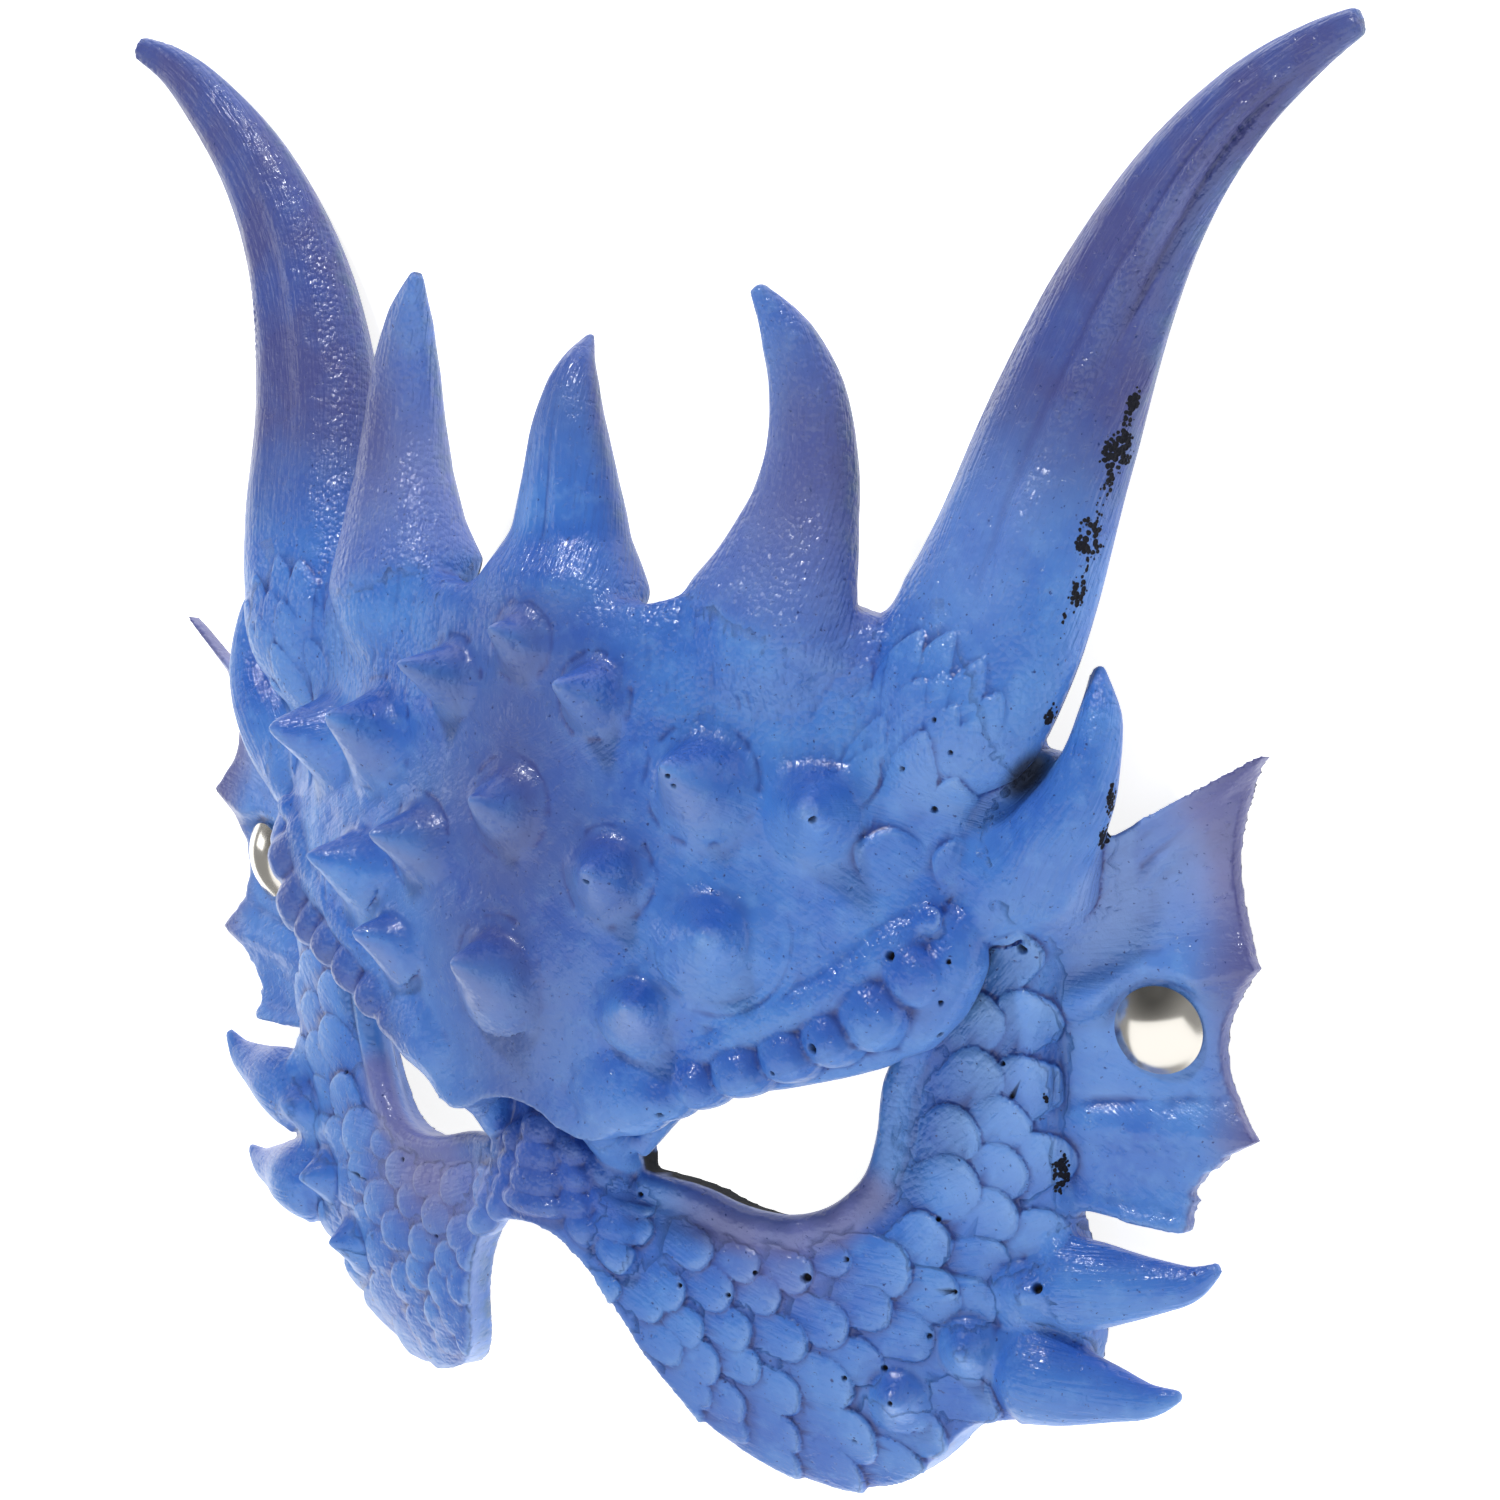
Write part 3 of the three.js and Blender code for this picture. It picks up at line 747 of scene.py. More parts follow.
mask.vertex_groups.clear()

# The far brow came out of the mould a little higher than the near one, and the far lid lower
points = points_of(mask)
x, y, z = points.T
over_lid = ramp(z - cheek_z(x, y), 2.5, 7)
far_brow = plateau(-x, 12, 28, 56, 70) * (1 - ramp(y, -16, 8)) * over_lid
far_lid = bump(x, -50, 15) * bump(y, -49, 8) * (1 - over_lid)
brow_raised = 3.2
lid_lowered = 2.0
points[:, 1] += brow_raised * far_brow - lid_lowered * far_lid
set_points(mask, points)

# Each rivet clamps the web flat between its cap and its flange
points = points_of(mask)
normals = normals_of(mask)
seat_radius = 8.0
seat_depth = 3.5
side = np.where(points[:, :1] < 0, [-1.0, 1.0, 1.0], [1.0, 1.0, 1.0])
off = points * side - rivet_place
proud = off @ rivet_axis
round_rivet = np.linalg.norm(off - proud[:, None] * rivet_axis, axis=1)
pressed = (1 - ramp(round_rivet, seat_radius, 11.5)) * (np.abs(proud) < 7)
pressed *= ramp(round_rivet, 2.4, 3.2)
front_face = (normals * side) @ rivet_axis > 0
target = np.where(front_face, 0.0, -seat_depth)
points += side * rivet_axis * ((target - proud) * pressed)[:, None]
set_points(mask, points)

normals = normals_of(mask)
x, y, z = points.T
wide = np.abs(x)
facing = ramp(normals[:, 2], 0.05, 0.45)
on_cheek = facing * ramp(4.5 - np.abs(z - cheek_z(x, y)), 0, 1.5)
on_forehead = facing * ramp(7 - np.abs(z - forehead_z(x, y)), 0, 2)

scales = shingles(x, y, cheek_scales, scale_angle, 1.5)[0]
scales = np.maximum(scales, 0.25)
lid_gap = ramp(to_line(wide, y, [*lower_lid, (70, -15)]), 5.2, 6.4)
outer_skin = ramp(wide, 60, 64) * ramp(y, -49, -46)
keep_rim = np.maximum(lid_gap, outer_skin * ramp(wide - 70 + 0.12 * (y + 20), 0, 1.5))
clear_of_cones = np.ones(len(points))
for foot, tip, radius in cheek_cones:
    clear_of_cones *= ramp(np.hypot(wide - foot[0], y - foot[1]), radius * 0.8, radius * 1.6)
cheek_lift = scales * on_cheek * keep_rim * clear_of_cones
leaves = shingles(
    x, y, temple_leaves, lambda tip_x, tip_y: leaf_angle, 1.0,
    long=1.0, power=1.4, border=0.3, spread=1.0,
)[0]
hump_tops = shingles(x, y, humps, lambda tip_x, tip_y: hump_angle, 1.2, long=0.8, tail=0.2)[0]
leaf_lift = leaves * facing * ramp(z, -14, -10)
hump_lift = hump_tops * facing
relief = np.maximum(cheek_lift, np.maximum(leaf_lift, hump_lift))

# Horns: long shallow furrows, and a few broken ones. Every horn has its own, and so has every side.
other_side = 50.0
other_horn = 7.3
furrows = np.zeros(len(points))
horn_share = np.zeros(len(points))
for index, (name, shape) in enumerate(horns.items()):
    near, t, angle, within, radius = horn_frame(points, shape, 1.8)
    side = np.where(points[near, 0] < 0, other_side, 0.0)
    lengthwise = np.stack([angle * 3.2, t * 2.2 + side, np.full(len(near), index * other_horn)], 1)
    depth_mm = np.minimum(radius / 12, 1) * ramp(t, 0.12, 0.5)
    wave = value_noise(lengthwise, 1.0, 11) * 0.32
    wave += value_noise(lengthwise * [2.3, 1.6, 1], 1.0, 12) * 0.16
    furrows[near] += wave * depth_mm * within
    if name == "big":
        drift = angle + 0.16 * value_noise(np.stack([t * 7, side, side], 1), 1.0, 13)
        upper = plateau(t, 0.4, 0.6, 0.9, 0.98)
        broken = 1 + 0.4 * value_noise(np.stack([t * 26, side, angle * 0], 1), 1.0, 15)
        long_ridges = 1.5 * broken * bump(drift, 0.42, 0.2) + 0.7 * bump(drift, 0.0, 0.13)
        long_ridges += 0.8 * upper * bump(drift, 1.5, 0.22) - 1.0 * upper * bump(drift, 0.72, 0.18)
        long_ridges *= plateau(t, 0.12, 0.35, 0.82, 0.95) * np.where(side > 0, 0.12, 1.0)
        furrows[near] += long_ridges * within
        bands = ramp(value_noise(np.stack([t * 11, side, angle], 1), 1.0, 14), 0.1, 0.4)
        crosswise = np.sin(t * 520) * bump(angle, 0.85, 0.2) * bands * ramp(t, 0.3, 0.4)
        furrows[near] += 0.22 * crosswise * within
    horn_share[near] = np.maximum(horn_share[near], within * ramp(t, 0.05, 0.4))
relief = relief * (1 - horn_share * 0.9) + furrows * ramp(normals[:, 2], -0.3, 0.1)

# Forehead: a lumpy skin, with broken wrinkles towards the crown
lumps = value_noise(points, (7, 7, 7), 21) * 0.35 + value_noise(points, (2.6, 2.6, 2.6), 22) * 0.16
crown = plateau(y, 20, 38, 56, 66) * plateau(wide, 14, 26, 60, 68)
wrinkles = np.abs(value_noise(points, (2.2, 7.0, 6.0), 23))
wrinkles += np.abs(value_noise(points, (1.7, 3.4, 3.0), 24))
relief += on_forehead * (1 - horn_share) * (lumps + crown * (0.5 - wrinkles) * 0.3)

# A broken crevice runs round the foot of the cones by the midline
broken_line = ramp(value_noise(points, (3, 3, 3), 31), -0.1, 0.3) * on_forehead
for foot, tip, radius in [*midline_cones, *forehead_cones[:2], forehead_cones[3]]:
    relief -= 0.3 * bump(np.hypot(wide - foot[0], y - foot[1]), radius * 1.15, 0.7) * broken_line

# Two low rings lie under the largest cone on each side
ringed_foot = forehead_cones[4][0]
for collar_radius in (12.0, 14.2):
    across, down = wide - ringed_foot[0], ringed_foot[1] - y
    below = ramp((down + across) / collar_radius, 0.3, 1.1)
    relief += 0.32 * bump(np.hypot(across, down), collar_radius, 0.7) * below * on_forehead
set_points(mask, points + normals * relief[:, None])
apply_modifier(mask, "SMOOTH", factor=0.3, iterations=2)


def hollowness(piece, rounds):
    """How hollow the skin is at each point, in mm: above zero in a crease, below on a crest."""
    points = points_of(piece)
    normals = normals_of(piece)
    edges = np.empty(len(piece.data.edges) * 2, np.int32)
    piece.data.edges.foreach_get("vertices", edges)
    first, second = edges.reshape(-1, 2).T
    count = np.bincount(first, minlength=len(points)) + np.bincount(second, minlength=len(points))
    soft = points.copy()
    for _ in range(rounds):
        total = np.zeros_like(soft)
        for i in range(3):
            total[:, i] += np.bincount(first, weights=soft[second, i], minlength=len(points))
            total[:, i] += np.bincount(second, weights=soft[first, i], minlength=len(points))
        soft = total / np.maximum(count, 1)[:, None]
    return np.sum((soft - points) * normals, axis=1)


def store(piece, name, values, kind="FLOAT", key="value"):
    layer = piece.data.attributes.new(name, kind, "POINT")
    layer.data.foreach_set(key, np.asarray(values, np.float32).ravel())


# Painted light and shade on the blue: what faces down is painted paler and what faces up deeper, as light
# from below would leave them, and the free ends of the scales are painted paler, partly as light falling
# on them. The nose bridge, the brow and the chin are made deeper in tone, and the fin web, the outer
# forehead and the outer cheek paler.
scaly = on_cheek * keep_rim * clear_of_cones * (1 - horn_share)
painted_light_and_tone = np.clip(-0.9 * normals[:, 1], -0.75, 0.75) * (1 - scaly)
painted_light_and_tone += (1.3 * scales / 1.5 - 0.65) * scaly
brow_line = [(block[0], block[1]) for block in brow_blocks]
on_brow = bump(to_line(wide, y, brow_line), 0, 4.5) * (z > cheek_z(x, y) + 4)
painted_light_and_tone += 0.4 * leaf_lift - 1.5 * bump(x, 1, 11) * bump(y, -49, 9) - 0.45 * on_brow
on_web = ramp(wide, 90, 98) * (z < -6) * plateau(y, -47, -42, 30, 38)
painted_light_and_tone += (0.25 + 0.2 * ramp(y, -28, -22)) * on_web
painted_light_and_tone += 0.3 * bump(wide, 60, 14) * bump(y, -4, 12) * on_forehead
painted_light_and_tone += 0.35 * ramp(wide, 68, 80) * ramp(y, -55, -45) * on_cheek
painted_light_and_tone -= 0.2 * ramp(-y, 75, 90)
store(mask, "painted_light_and_tone", painted_light_and_tone)
store(mask, "crease", hollowness(mask, 4))
store(mask, "hollow", hollowness(mask, 40))
triangles = len(mask.data.polygons) * 2
wanted = 170000
apply_modifier(mask, "DECIMATE", ratio=min(1.0, wanted / triangles))

# Pores: bubbles that broke through the skin and left small round pits with bare black foam.
# Each row gives a pit's place on the front and its radius.
pores = [
    (18.5, -52.5, 0.5), (51.4, -61.2, 0.9), (57, -57, 0.5), (41.8, -62.3, 0.5), (37.2, -66.6, 0.5),
    (27.9, -67.3, 0.5), (58.6, -78, 0.5), (64.7, -75, 0.6), (57.4, -89.7, 0.5), (72, -68, 0.5),
    (76.4, -59.3, 0.5), (73.3, -47.6, 0.5), (80, -9, 0.5), (79.6, -17.1, 0.6), (83.7, -19, 0.5),
    (85.5, -24.7, 0.5), (87.4, 0.8, 0.95), (81, -2, 0.5), (72.3, -2.2, 0.9), (54, -24, 0.5),
    (61, -19, 1.0), (33.3, -35, 0.7), (76, 22.3, 0.6), (79.2, 37.5, 0.5), (81, 32, 0.5),
    (71.5, 28.2, 0.5), (92, -56, 1.0), (68.5, -80, 0.5), (64.0, 19.4, 0.8), (25.2, 4.3, 0.7),
    (38.8, 25.2, 0.5), (40.6, 24, 0.5), (40.4, 21.8, 0.5), (-1.5, 15, 0.5), (-26, 4, 0.5),
    (-47, -60, 0.5), (-33, -71, 0.5), (-62, -66, 0.5), (-70, -47, 0.5), (-52, -23, 0.6), (-44, 22, 0.5),
]
points = points_of(mask)
normals = normals_of(mask)
pits = []
for x, y, radius in pores:
    off = np.hypot(points[:, 0] - x, points[:, 1] - y)
    seen = np.flatnonzero((off < 5.0) & (normals[:, 2] > 0.15))
    top = seen[np.argmin(off[seen] - 0.35 * points[seen, 2])]
    pits.append((points[top], normals[top], radius))
centres = triples(mask.data.polygons, "center")
picked = np.zeros(len(centres), bool)
margin = 0.9
for place, _, radius in pits:
    picked |= np.linalg.norm(centres - place, axis=1) < radius + margin
activate(mask)
bpy.ops.object.mode_set(mode="EDIT")
bpy.ops.mesh.select_mode(type="FACE")
bpy.ops.mesh.select_all(action="DESELECT")
bpy.ops.object.mode_set(mode="OBJECT")
mask.data.polygons.foreach_set("select", picked)
bpy.ops.object.mode_set(mode="EDIT")
bpy.ops.mesh.subdivide(number_cuts=4)
bpy.ops.mesh.quads_convert_to_tris()
bpy.ops.object.mode_set(mode="OBJECT")
points = points_of(mask)
bare_pit = np.zeros(len(points))
pit_depth = 1.6
for place, normal, radius in pits:
    off = points - place
    deep = off @ normal
    across = np.linalg.norm(off - deep[:, None] * normal, axis=1) / radius
    inside = (1 - ramp(across, 0.6, 1.05)) * (np.abs(deep) < 1.5)
    points -= normal * (pit_depth * radius * inside)[:, None]
    bare_pit = np.maximum(bare_pit, inside)
set_points(mask, points)

# Paint and texture masks, worked out from where each point lies. Each says how far a coat or a
# texture covers the point, and the later of two covers counts where it is the stronger one.
points = points_of(mask)
paint = {}
for name in ("violet", "lilac", "dust", "raw", "pale", "porous", "leathery"):
    paint[name] = np.zeros(len(points))
paint["leathery"] += 0.06


def spray(name, cover, where=slice(None)):
    paint[name][where] = np.maximum(paint[name][where], cover)


normals = normals_of(mask)
x, y, z = points.T
wide = np.abs(x)
front = normals[:, 2]
near_cheek = x > 0
over_cheek = z - cheek_z(x, y)
over_forehead = z - forehead_z(x, y)
on_forehead = (np.abs(over_forehead) < np.abs(over_cheek)) * ramp(wide, 92, 86)
on_cheek = ramp(front, 0.05, 0.4) * ramp(4.5 - np.abs(over_cheek), 0, 1.5)
grain = np.stack([x, y, z], 1)
grained = np.zeros(len(points))

tops, turns = shingles(x, y, cheek_scales, scale_angle, 1.5)
scale_across = wide * np.sin(turns) - y * np.cos(turns)
scale_along = wide * np.cos(turns) + y * np.sin(turns)
shingled = (tops > 0.1) & (on_cheek > 0.3)
grain[shingled] = np.stack([scale_across, 0.12 * scale_along, turns * 9], 1)[shingled]
grained[shingled] = 0.6

# Fine hair lines run down from the crown and aslant over the rest of the forehead
crown_lines = ramp(y, 18, 30)
slant_along = wide * 0.87 - y * 0.5
slant_across = wide * 0.5 + y * 0.87
hair_across = wide * crown_lines + slant_across * (1 - crown_lines)
hair_along = y * crown_lines + slant_along * (1 - crown_lines)
hair_lines = np.stack([hair_across, 0.12 * hair_along, x * 0], 1)
combed = on_forehead > 0.5
grain[combed] = hair_lines[combed]
grained[combed] = (0.25 + 0.2 * ramp(wide, 22, 40) + 0.3 * crown_lines)[combed]

# Violet is the deep spray on the horns and lids, lilac the paler dusting round it
below_side_horn = 1 - ramp(y - wide + 100, 16, 30)
fin_side = ramp(wide, 89, 94) * below_side_horn * ramp(y, -46, -43) * (z < -6)
spread = np.arctan2(y + 6, wide - 60)
on_fin = fin_side > 0.5
grain[on_fin] = np.stack([spread * 50, wide * 0.12, z * 0], 1)[on_fin]
grained[on_fin] = 0.45
to_edge = ramp(wide + 0.12 * y, 110, 123)
upper_web = ramp(y - 0.45 * (wide - 100), -6, 10)
fin_tip = ramp(y + wide, 142, 158)
rim_of_fin = ramp(normals[:, 0] * np.sign(x), 0.5, 0.85) * ramp(wide, 104, 108)
fin_violet = np.clip(0.8 * to_edge - 0.3 * upper_web + 0.3 * fin_tip + 0.7 * rim_of_fin, 0, 1)
spray("violet", fin_side * fin_violet)
spray("lilac", fin_side * np.clip(0.3 * upper_web + 0.75 * to_edge, 0, 0.85))

rim_line = [*lower_lid, (70, -15)]
lid = 1 - ramp(to_line(wide, y + 3.5, rim_line[:6]), 1.0, 6.5)
lid *= ramp(wide, 20, 34) * (over_cheek > -4) * (over_forehead < -4) * ramp(front, -0.2, 0.3)
spray("violet", 0.4 * lid)
spray("violet", 0.3 * bump(x, 1, 10) * bump(y, -50, 9) * (over_forehead < -4))
spray("violet", 0.65 * bump(to_line(-x, y, brow_line), 0, 6) * (over_cheek > 4))
spray("lilac", 0.75 * lid)
under_eye = bump(wide, np.where(near_cheek, 46, 38), np.where(near_cheek, 12, 16))
under_eye *= bump(y, np.where(near_cheek, -62, -60), np.where(near_cheek, 5, 10))
under_eye *= over_forehead < -4
spray("lilac", under_eye * np.where(near_cheek, 0.4, 0.85))
spray("violet", 0.35 * under_eye * ~near_cheek)

middle = (1 - ramp(wide + 0.35 * np.abs(y - 10), 4, 46)) * (1 - ramp(y, 46, 60))
standing = ramp(over_forehead, 1.5, 5)
spray("violet", 0.76 * middle * on_forehead * (1 - 0.5 * standing))
# Painted light: the cones' down-facing flanks are dusted a paler lilac, as if lit from below
for foot, tip, radius in [*midline_cones, *forehead_cones[:2], forehead_cones[3], *forehead_cones[5:]]:
    from_axis = np.hypot(wide - (foot[0] + tip[0]) / 2, y - (foot[1] + tip[1]) / 2)
    painted_light_flank = (1 - ramp(from_axis, radius * 0.7, radius * 1.2)) * ramp(-normals[:, 1], 0.1, 0.6)
    spray("lilac", 0.28 * painted_light_flank * on_forehead)

for name, shape in horns.items():
    near, t, angle, within, radius = horn_frame(points, shape, 1.75 if name == "big" else 1.4)
    length = np.sum(np.linalg.norm(np.diff(np.array(shape["path"], float), axis=0), axis=1))
    on_horn = within * ramp(t, 0.14, 0.26)
    well_on = on_horn > 0.5
    own = np.stack([angle * radius, t * length * 0.12, np.zeros(len(near))], 1)
    grain[near[well_on]] = own[well_on]
    grained[near] *= 1 - ramp(on_horn, 0.1, 0.4)
    grained[near[well_on]] = ramp(on_horn[well_on], 0.6, 0.95)
    if name == "big":
        earlier = np.where(x[near] < 0, 0.1, 0.0)
        bluer_back = ramp(-angle, 0.3, 1.3) * ramp(t, 0.7, 0.9)
        shade = ramp(t + earlier, 0.26, 0.5) * (1 - 0.45 * bluer_back)
    elif name == "mid":
        shade = 0.85 * bump(t, 0.64, 0.25) * ramp(angle, -1.4, 0.4)
    elif name == "centre":
        shade = 0.5 * ramp(t, 0.5, 0.85)
        shade += 0.4 * ramp(np.abs(angle), 0.9, 1.6) * ramp(t, 0.2, 0.4)
    else:
        shade = np.zeros(len(near))
    spray("violet", shade * on_horn, near)
    if name == "big":
        lit_side = (1 - ramp(t, 0.34, 0.5)) * (1 - ramp(angle, 0.2, 0.9)) * (x[near] > 0)
        spray("pale", 0.3 * on_horn * lit_side, near)
        valley = bump(angle, 0.8, 0.3) * plateau(t, 0.45, 0.6, 0.85, 0.95) * (x[near] > 0)
        spray("lilac", 0.5 * on_horn * valley, near)
        crest = bump(angle, 0.35, 0.25) * ramp(t, 0.2, 0.4) * (x[near] > 0)
        spray("leathery", 0.7 * on_horn * crest, near)
    if name == "mid":
        spray("lilac", 0.5 * on_horn * bump(t, 0.55, 0.3), near)
    if name in ("big", "mid", "centre"):
        spray("dust", on_horn * ramp(t, 0.3, 0.5) * ramp(np.abs(angle), 1.1, 1.7), near)
    spray("leathery", 0.5 * within * bump(t, 0.2, 0.12), near)

# Leathery skin: fine broken wrinkles along the brow ridge, over the nose and up to the crown
ridge_skin = bump(to_line(wide, y, ridge_line), 0, 5) * on_forehead
nose_skin = 0.7 * bump(wide, 0, 15) * bump(y, -50, 12)
crown_skin = ramp(y, 22, 36) * ramp(wide, 18, 28) * on_forehead
outer_rim = bump(wide, 68, 4) * bump(y, -32, 14) * on_cheek
for share in (0.6 * ridge_skin, 0.6 * nose_skin, 0.6 * crown_skin, 0.9 * outer_rim):
    spray("leathery", share)

# Rough spots where the foam did not skin over. Each row is a place, half sizes and a turn, and the
# spot lies where the camera sees it round that place.
rough_spots = [
    (101.6, 90, -3.5, 1.3, 5, 75), (100, 83, -3.2, 3.0, 4.5, 75), (98.8, 77, -3, 1.5, 3.5, 75),
    (97.4, 68.8, -1.5, 2.8, 5, 80), (96.1, 60, -1.5, 1.9, 3.5, 75), (94.9, 55, -0.5, 1.2, 2.5, 75),
    (92, 40, -3, 1.2, 3, 70), (102.5, 27.5, -7, 1.0, 4, 85), (101, 21, -8.5, 1.2, 3.5, 75),
    (92.2, -36.5, -17.9, 1.9, 4.8, 90), (90.1, -24.5, -14.5, 0.9, 1.9, 85),
]


def spot_seen_at(place, half_wide, half_long, turn):
    run = np.array([math.cos(math.radians(turn)), math.sin(math.radians(turn)), 0.0])
    off = points - place
    sight = np.array(camera_place) - place
    sight /= np.linalg.norm(sight)
    deep = off @ sight
    off -= deep[:, None] * sight
    along = off @ run
    across = np.linalg.norm(off - along[:, None] * run, axis=1)
    spot = (1 - ramp(np.hypot(along / half_long, across / half_wide), 0.5, 1.4)) * (np.abs(deep) < 12)
    return spot * (normals @ sight > 0.1)


for *spot_place, half_wide, half_long, turn in rough_spots:
    spray("porous", 1.21 * spot_seen_at(spot_place, half_wide, half_long, turn))

# Bare black foam behind and on the trimmed edges. On the far side the walls of the arch and of the
# eye took a pale blue spray, and under it the arch's wall is grey and porous.
on_horns = np.zeros(len(points))
for shape in horns.values():
    near, t, angle, within, radius = horn_frame(points, shape)
    on_horns[near] = np.maximum(on_horns[near], within * ramp(t, 0.2, 0.35))
spray("raw", ramp(-front - 0.3 * on_horns, 0.25, 0.5))
arch_line = np.where(near_cheek, to_line(wide, y, cheek_edge[:8]), to_line(wide, y, far_cheek_edge[:9]))
arch_wall = (arch_line < 3.2) * (wide < 34) * (y < -58) * (front < 0.75)
eye_wall = (to_line(wide, y, lower_lid) < 3.2) * (over_forehead < -5) * (front < 0.75)
below_skin = -over_cheek
spray("raw", ramp(below_skin, 1.8, 3.0) * arch_wall * near_cheek)
spray("raw", ramp(below_skin, 0.5, 1.4) * eye_wall * near_cheek)
paint["raw"] *= 1 - (arch_wall | eye_wall) * ~near_cheek * (front > -0.6)
spray("raw", bare_pit)
# Painted shade: the crevice at the side horn's root, where shadow falls, is painted as black bare foam
painted_shade_by_side_horn = spot_seen_at((87.5, 29.5, -4.2), 2.6, 7.0, 50)
spray("raw", 0.9 * painted_shade_by_side_horn)
band = ramp(below_skin, -0.2, 0.6) * ~near_cheek
deep_in = ramp(below_skin, 3.6, 4.6)
paint["pale"] += 0.55 * band * arch_wall * (1 - 0.9 * deep_in) + 0.35 * band * eye_wall
spray("dust", band * arch_wall * deep_in)
spray("porous", 0.4 * band * arch_wall * ramp(below_skin, 3.0, 4.0))
paint["grained"] = grained
for name, values in paint.items():
    store(mask, name, values)
store(mask, "grain", grain, "FLOAT_VECTOR", "vector")

# Laid down on its back in the model's frame, and flat where it lies on the table
mask.data.transform(laid_down)
points = points_of(mask)
points[:, 2] = np.maximum(points[:, 2], 0.0)
set_points(mask, points)

# Sprayed foam: self-skinned polyurethane under a thin coat of satin paint, with the mould's fine leathery
# wrinkles and hair lines in its skin. Blue is sprayed all over and violet is dusted on, so both fade
# softly. Painted shade darkens the creases and hollows, and painted highlights pale the crests, where the
# satin coat also catches small sharp lights.
foam, tree = new_material("sprayed_foam")
per_mm = 1000.0
place = add_node(tree, "TexCoord", out="Object")
masks = {}
for name in (*paint, "painted_light_and_tone", "crease", "hollow"):
    masks[name] = add_node(tree, "Attribute", out="Fac", attribute_name=name)
grain = add_node(tree, "Attribute", out="Vector", attribute_name="grain")
noises = []
for lump_mm, detail in ((14, 4), (3.2, 6), (0.9, 2), (0.45, 1), (1.8, 3)):
    lumps = {"Vector": place, "Scale": per_mm / lump_mm, "Detail": detail}
    noises.append(add_node(tree, "TexNoise", lumps))
mottle, blotch, speck, grit, nicks = noises
wrinkle = add_node(tree, "TexVoronoi", {"Vector": place, "Scale": per_mm / 1.1})
bubble = add_node(tree, "TexVoronoi", {"Vector": place, "Scale": per_mm / 0.8})
hair = add_node(tree, "TexNoise", {"Vector": grain, "Scale": 1.1, "Detail": 2.0})
hair = add_node(tree, "MapRange", {"Value": hair, "From Min": 0.35, "From Max": 0.62})

# The sprayed shares of violet and dust are broken up by the mottling
patchy = add_node(tree, "MapRange", {"Value": mottle, "From Min": 0.25, "From Max": 0.6, "To Min": 0.65})
violet = add_node(tree, "Math", {0: masks["violet"], 1: patchy}, operation="MULTIPLY")
lilac = add_node(tree, "Math", {0: masks["lilac"], 1: patchy}, operation="MULTIPLY")
clouded = add_node(tree, "MapRange", {"Value": blotch, "From Min": 0.4, "From Max": 0.65})
dust = add_node(tree, "Math", {0: masks["dust"], 1: clouded}, operation="MULTIPLY")
ragged = add_node(tree, "Math", {0: blotch, 1: 0.9, 2: masks["porous"]}, operation="MULTIPLY_ADD")
ragged = add_node(tree, "Math", {0: ragged, 1: bubble}, operation="SUBTRACT")
open_bubble = add_node(tree, "MapRange", {"Value": ragged, "From Min": 0.9, "From Max": 1.0})
bare = add_node(tree, "Math", {0: open_bubble, 1: masks["raw"]}, operation="MAXIMUM")

# Coats in the order they lie: colour, what drives it, where that starts and ends, most cover
coats = [
    ("#4a82d0", mottle, 0.33, 0.67, 1.0), ("#6698da", blotch, 0.5, 0.8, 0.6),
    # Painted light and shade: paler where the skin faces down, deeper where it faces up
    ("#74a2e4", masks["painted_light_and_tone"], 0.0, 0.9, 0.75), ("#2450ac", masks["painted_light_and_tone"], 0.0, -0.8, 0.8),
    # Painted highlights on the crests, then painted shade in the creases and hollows
    ("#8cb0e6", masks["crease"], -0.08, -0.4, 0.6), ("#18388a", masks["crease"], 0.02, 0.2, 0.9),
    ("#2a50a8", masks["hollow"], 0.3, 2.4, 0.6), ("#84a2e0", masks["pale"], 0.0, 1.0, 1.0),
    ("#8280b0", lilac, 0.0, 1.0, 1.0), ("#484a86", violet, 0.0, 1.0, 0.95),
    # Painted shade in the creases once more, over the violet
    ("#54708a", dust, 0.0, 1.0, 0.6), ("#22346e", masks["crease"], 0.1, 0.3, 0.7),
    ("#1c3373", speck, 0.68, 0.76, 0.9), ("#0c0f1c", open_bubble, 0.0, 1.0, 1.0),
]
colour = linear("#3166c0")
for coat, driver, start, full, most in coats:
    cover = add_node(tree, "MapRange", {
        "Value": driver, "From Min": start, "From Max": full, "To Max": most,
    })
    colour = add_node(tree, "Mix", {0: cover, 6: colour, 7: linear(coat)}, out=2, data_type="RGBA")
bare_foam = add_node(
    tree, "Mix", {0: speck, 6: linear("#141519"), 7: linear("#2e3036")}, out=2, data_type="RGBA")
colour = add_node(tree, "Mix", {0: masks["raw"], 6: colour, 7: bare_foam}, out=2, data_type="RGBA")

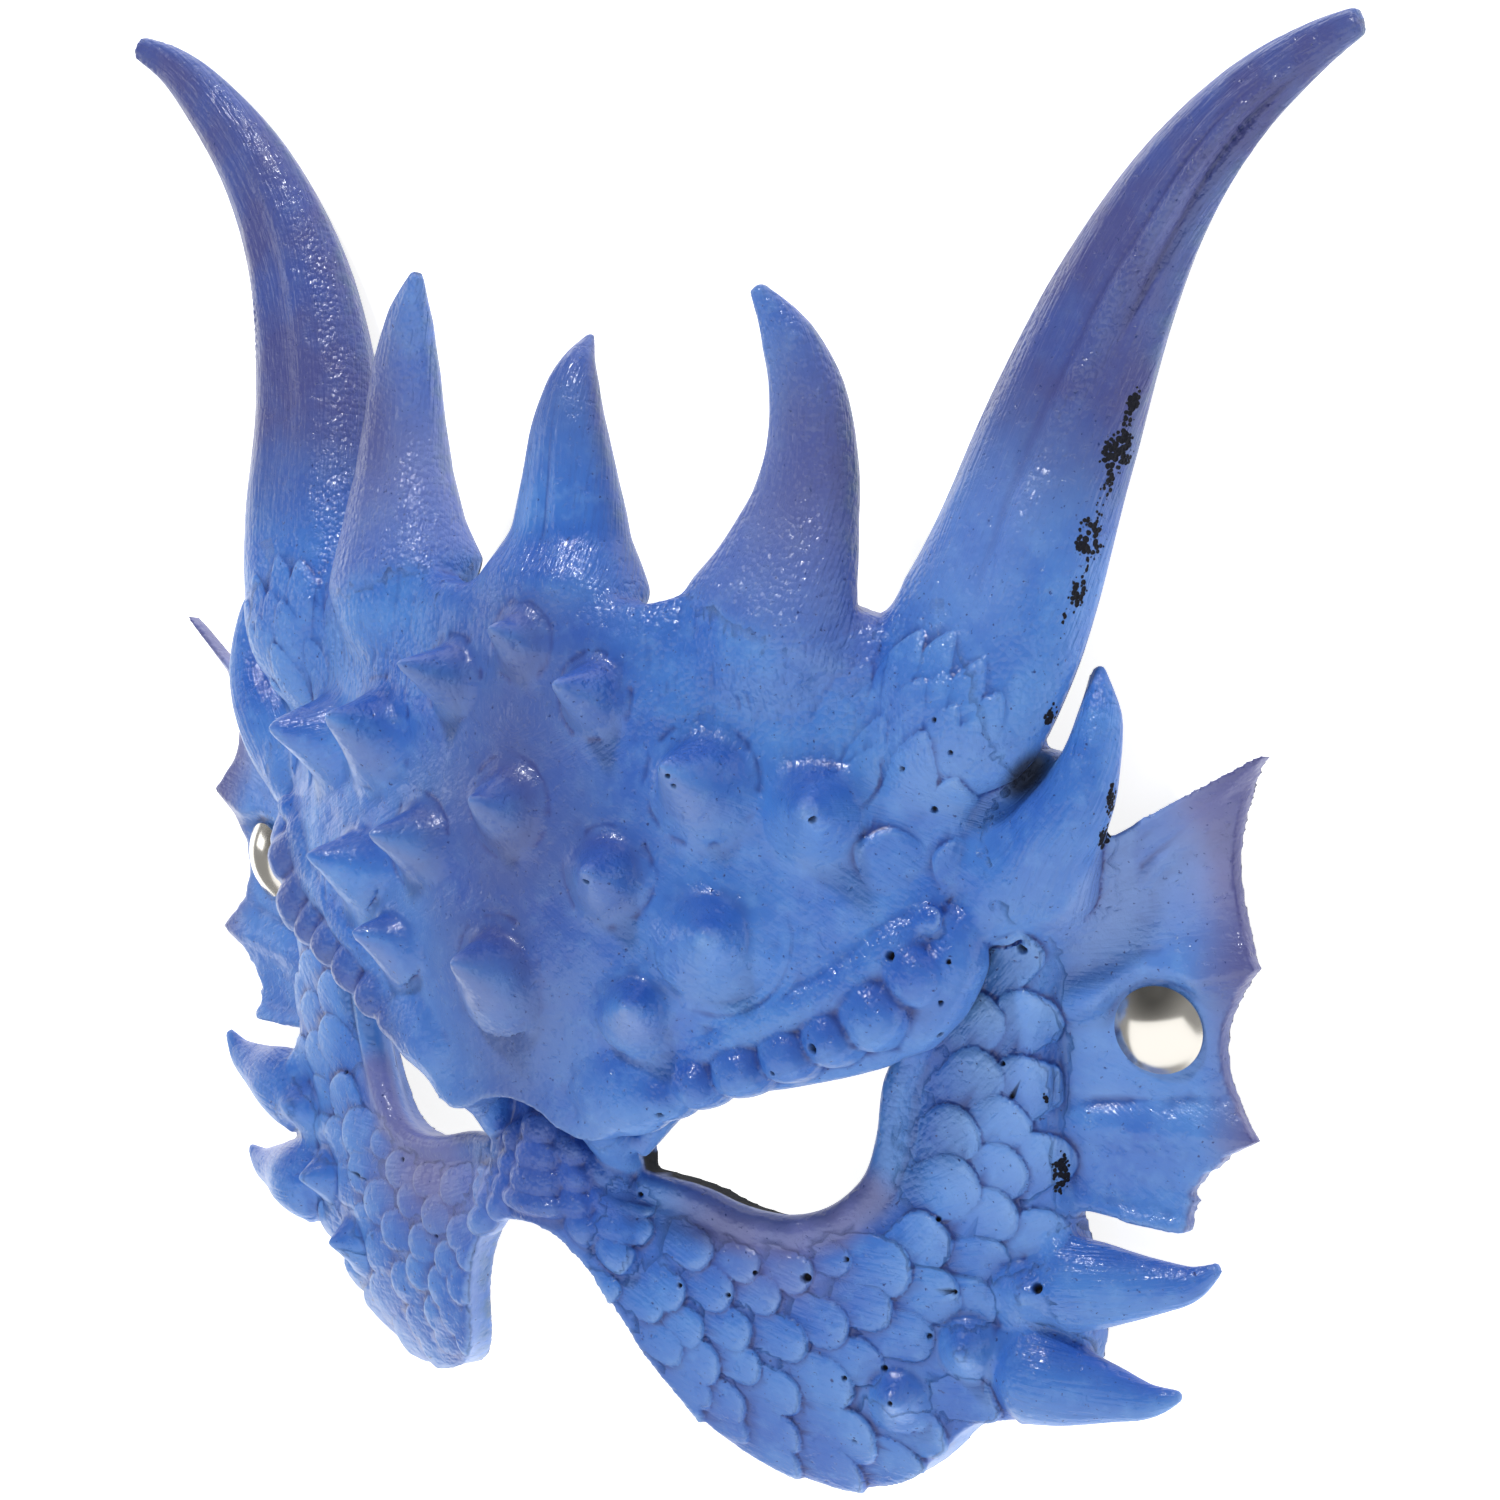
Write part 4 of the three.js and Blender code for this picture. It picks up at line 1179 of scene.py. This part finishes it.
# Height of the skin's texture, in millimetres: what makes it, what breaks it up, and its depth
creased = add_node(tree, "MapRange", {
    "Value": masks["crease"], "From Min": 0.1, "From Max": -0.25, "To Max": 0.5,
})
rough_skin = add_node(tree, "Math", {0: masks["leathery"], 1: creased}, operation="ADD")
dents = add_node(tree, "MapRange", {"Value": nicks, "From Min": 0.6, "From Max": 0.7, "To Max": -0.1})
textures = [
    (wrinkle, rough_skin, -0.3), (hair, masks["grained"], 0.1), (grit, clouded, 0.1),
    (open_bubble, bubble, 0.4),
]
height = add_node(tree, "Math", {0: blotch, 1: 0.12, 2: dents}, operation="MULTIPLY_ADD")
for texture, where, depth in textures:
    shown = add_node(tree, "Math", {0: texture, 1: where}, operation="MULTIPLY")
    height = add_node(tree, "Math", {0: shown, 1: depth, 2: height}, operation="MULTIPLY_ADD")
relief_light = add_node(tree, "Bump", {"Height": height, "Strength": 1.0, "Distance": 0.001})
sheen = add_node(tree, "MapRange", {"Value": blotch, "To Min": 0.28, "To Max": 0.5})
sheen = add_node(tree, "Math", {0: bare, 1: 0.5, 2: sheen}, operation="MULTIPLY_ADD")
film = add_node(tree, "MapRange", {"Value": bare, "To Min": 0.4, "To Max": 0.0})
shader = add_node(tree, "BsdfPrincipled", {
    "Base Color": colour, "Normal": relief_light, "Roughness": sheen, "IOR": 1.5,
    "Specular IOR Level": 0.35, "Coat Weight": film, "Coat Roughness": 0.12, "Coat Normal": relief_light,
})
add_node(tree, "OutputMaterial", {"Surface": shader})
mask.data.materials.clear()
mask.data.materials.append(foam)
activate(mask)
bpy.ops.object.shade_smooth()
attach(mask, "root")
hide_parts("mask")

# Rivets: two-part snap caps of polished nickel, one through each fin. A domed cap with a rolled
# rim sits on the front, and its post is clenched over a flat ring behind.
dome_radius = 7.5
dome_rise = 2.4
rim_top = 0.95
dome_steps = 15
rivet_profile = []
for i in range(dome_steps):
    out = i / dome_steps
    rivet_profile.append((dome_radius * out, rim_top + dome_rise * (1 - out ** 2)))
rivet_profile.extend([
    (7.55, rim_top), (7.6, 0.7), (7.5, 0.42), (7.2, 0.3), (6.6, 0.22), (2.0, 0.2), (2.0, -3.5),
    (5.7, -3.52), (6.0, -3.75), (6.0, -4.2), (5.7, -4.45), (2.6, -4.5), (2.2, -4.3), (1.4, -4.25),
    (0.0, -4.25),
])


def rivet(name):
    piece = grid(name, 96, len(rivet_profile) - 1)
    flat = points_of(piece)
    angle = 2 * math.pi * flat[:, 0]
    row = np.rint((flat[:, 1] + 0.5) * (len(rivet_profile) - 1)).astype(int)
    radius, height = np.array(rivet_profile)[row].T
    points = np.stack([radius * np.cos(angle), radius * np.sin(angle), height], 1)
    turned = np.array(Vector(rivet_axis).to_track_quat("Z", "Y").to_matrix())
    set_points(piece, points @ turned.T + rivet_place)
    edit_whole(piece)
    bpy.ops.mesh.remove_doubles(threshold=0.001)
    bpy.ops.mesh.normals_make_consistent(inside=False)
    bpy.ops.object.mode_set(mode="OBJECT")
    return piece


nickel, tree = new_material("polished_nickel")
place = add_node(tree, "TexCoord", out="Object")
smear = add_node(tree, "TexNoise", {"Vector": place, "Scale": per_mm / 5, "Detail": 3.0})
dulled = add_node(tree, "MapRange", {"Value": smear, "To Min": 0.08, "To Max": 0.24})
shader = add_node(tree, "BsdfPrincipled", {
    "Base Color": linear("#dcd8d0"), "Metallic": 1.0, "Roughness": dulled,
})
add_node(tree, "OutputMaterial", {"Surface": shader})
cap_right = rivet("rivet_cap_right")
cap_left = mirrored(cap_right)
cap_left.name = "rivet_cap_left"
for cap, node in ((cap_right, "rivet_right"), (cap_left, "rivet_left")):
    cap.data.transform(laid_down)
    cap.data.materials.clear()
    cap.data.materials.append(nickel)
    activate(cap)
    bpy.ops.object.shade_smooth_by_angle(angle=math.radians(35))
    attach(cap, "root")
    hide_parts(node)
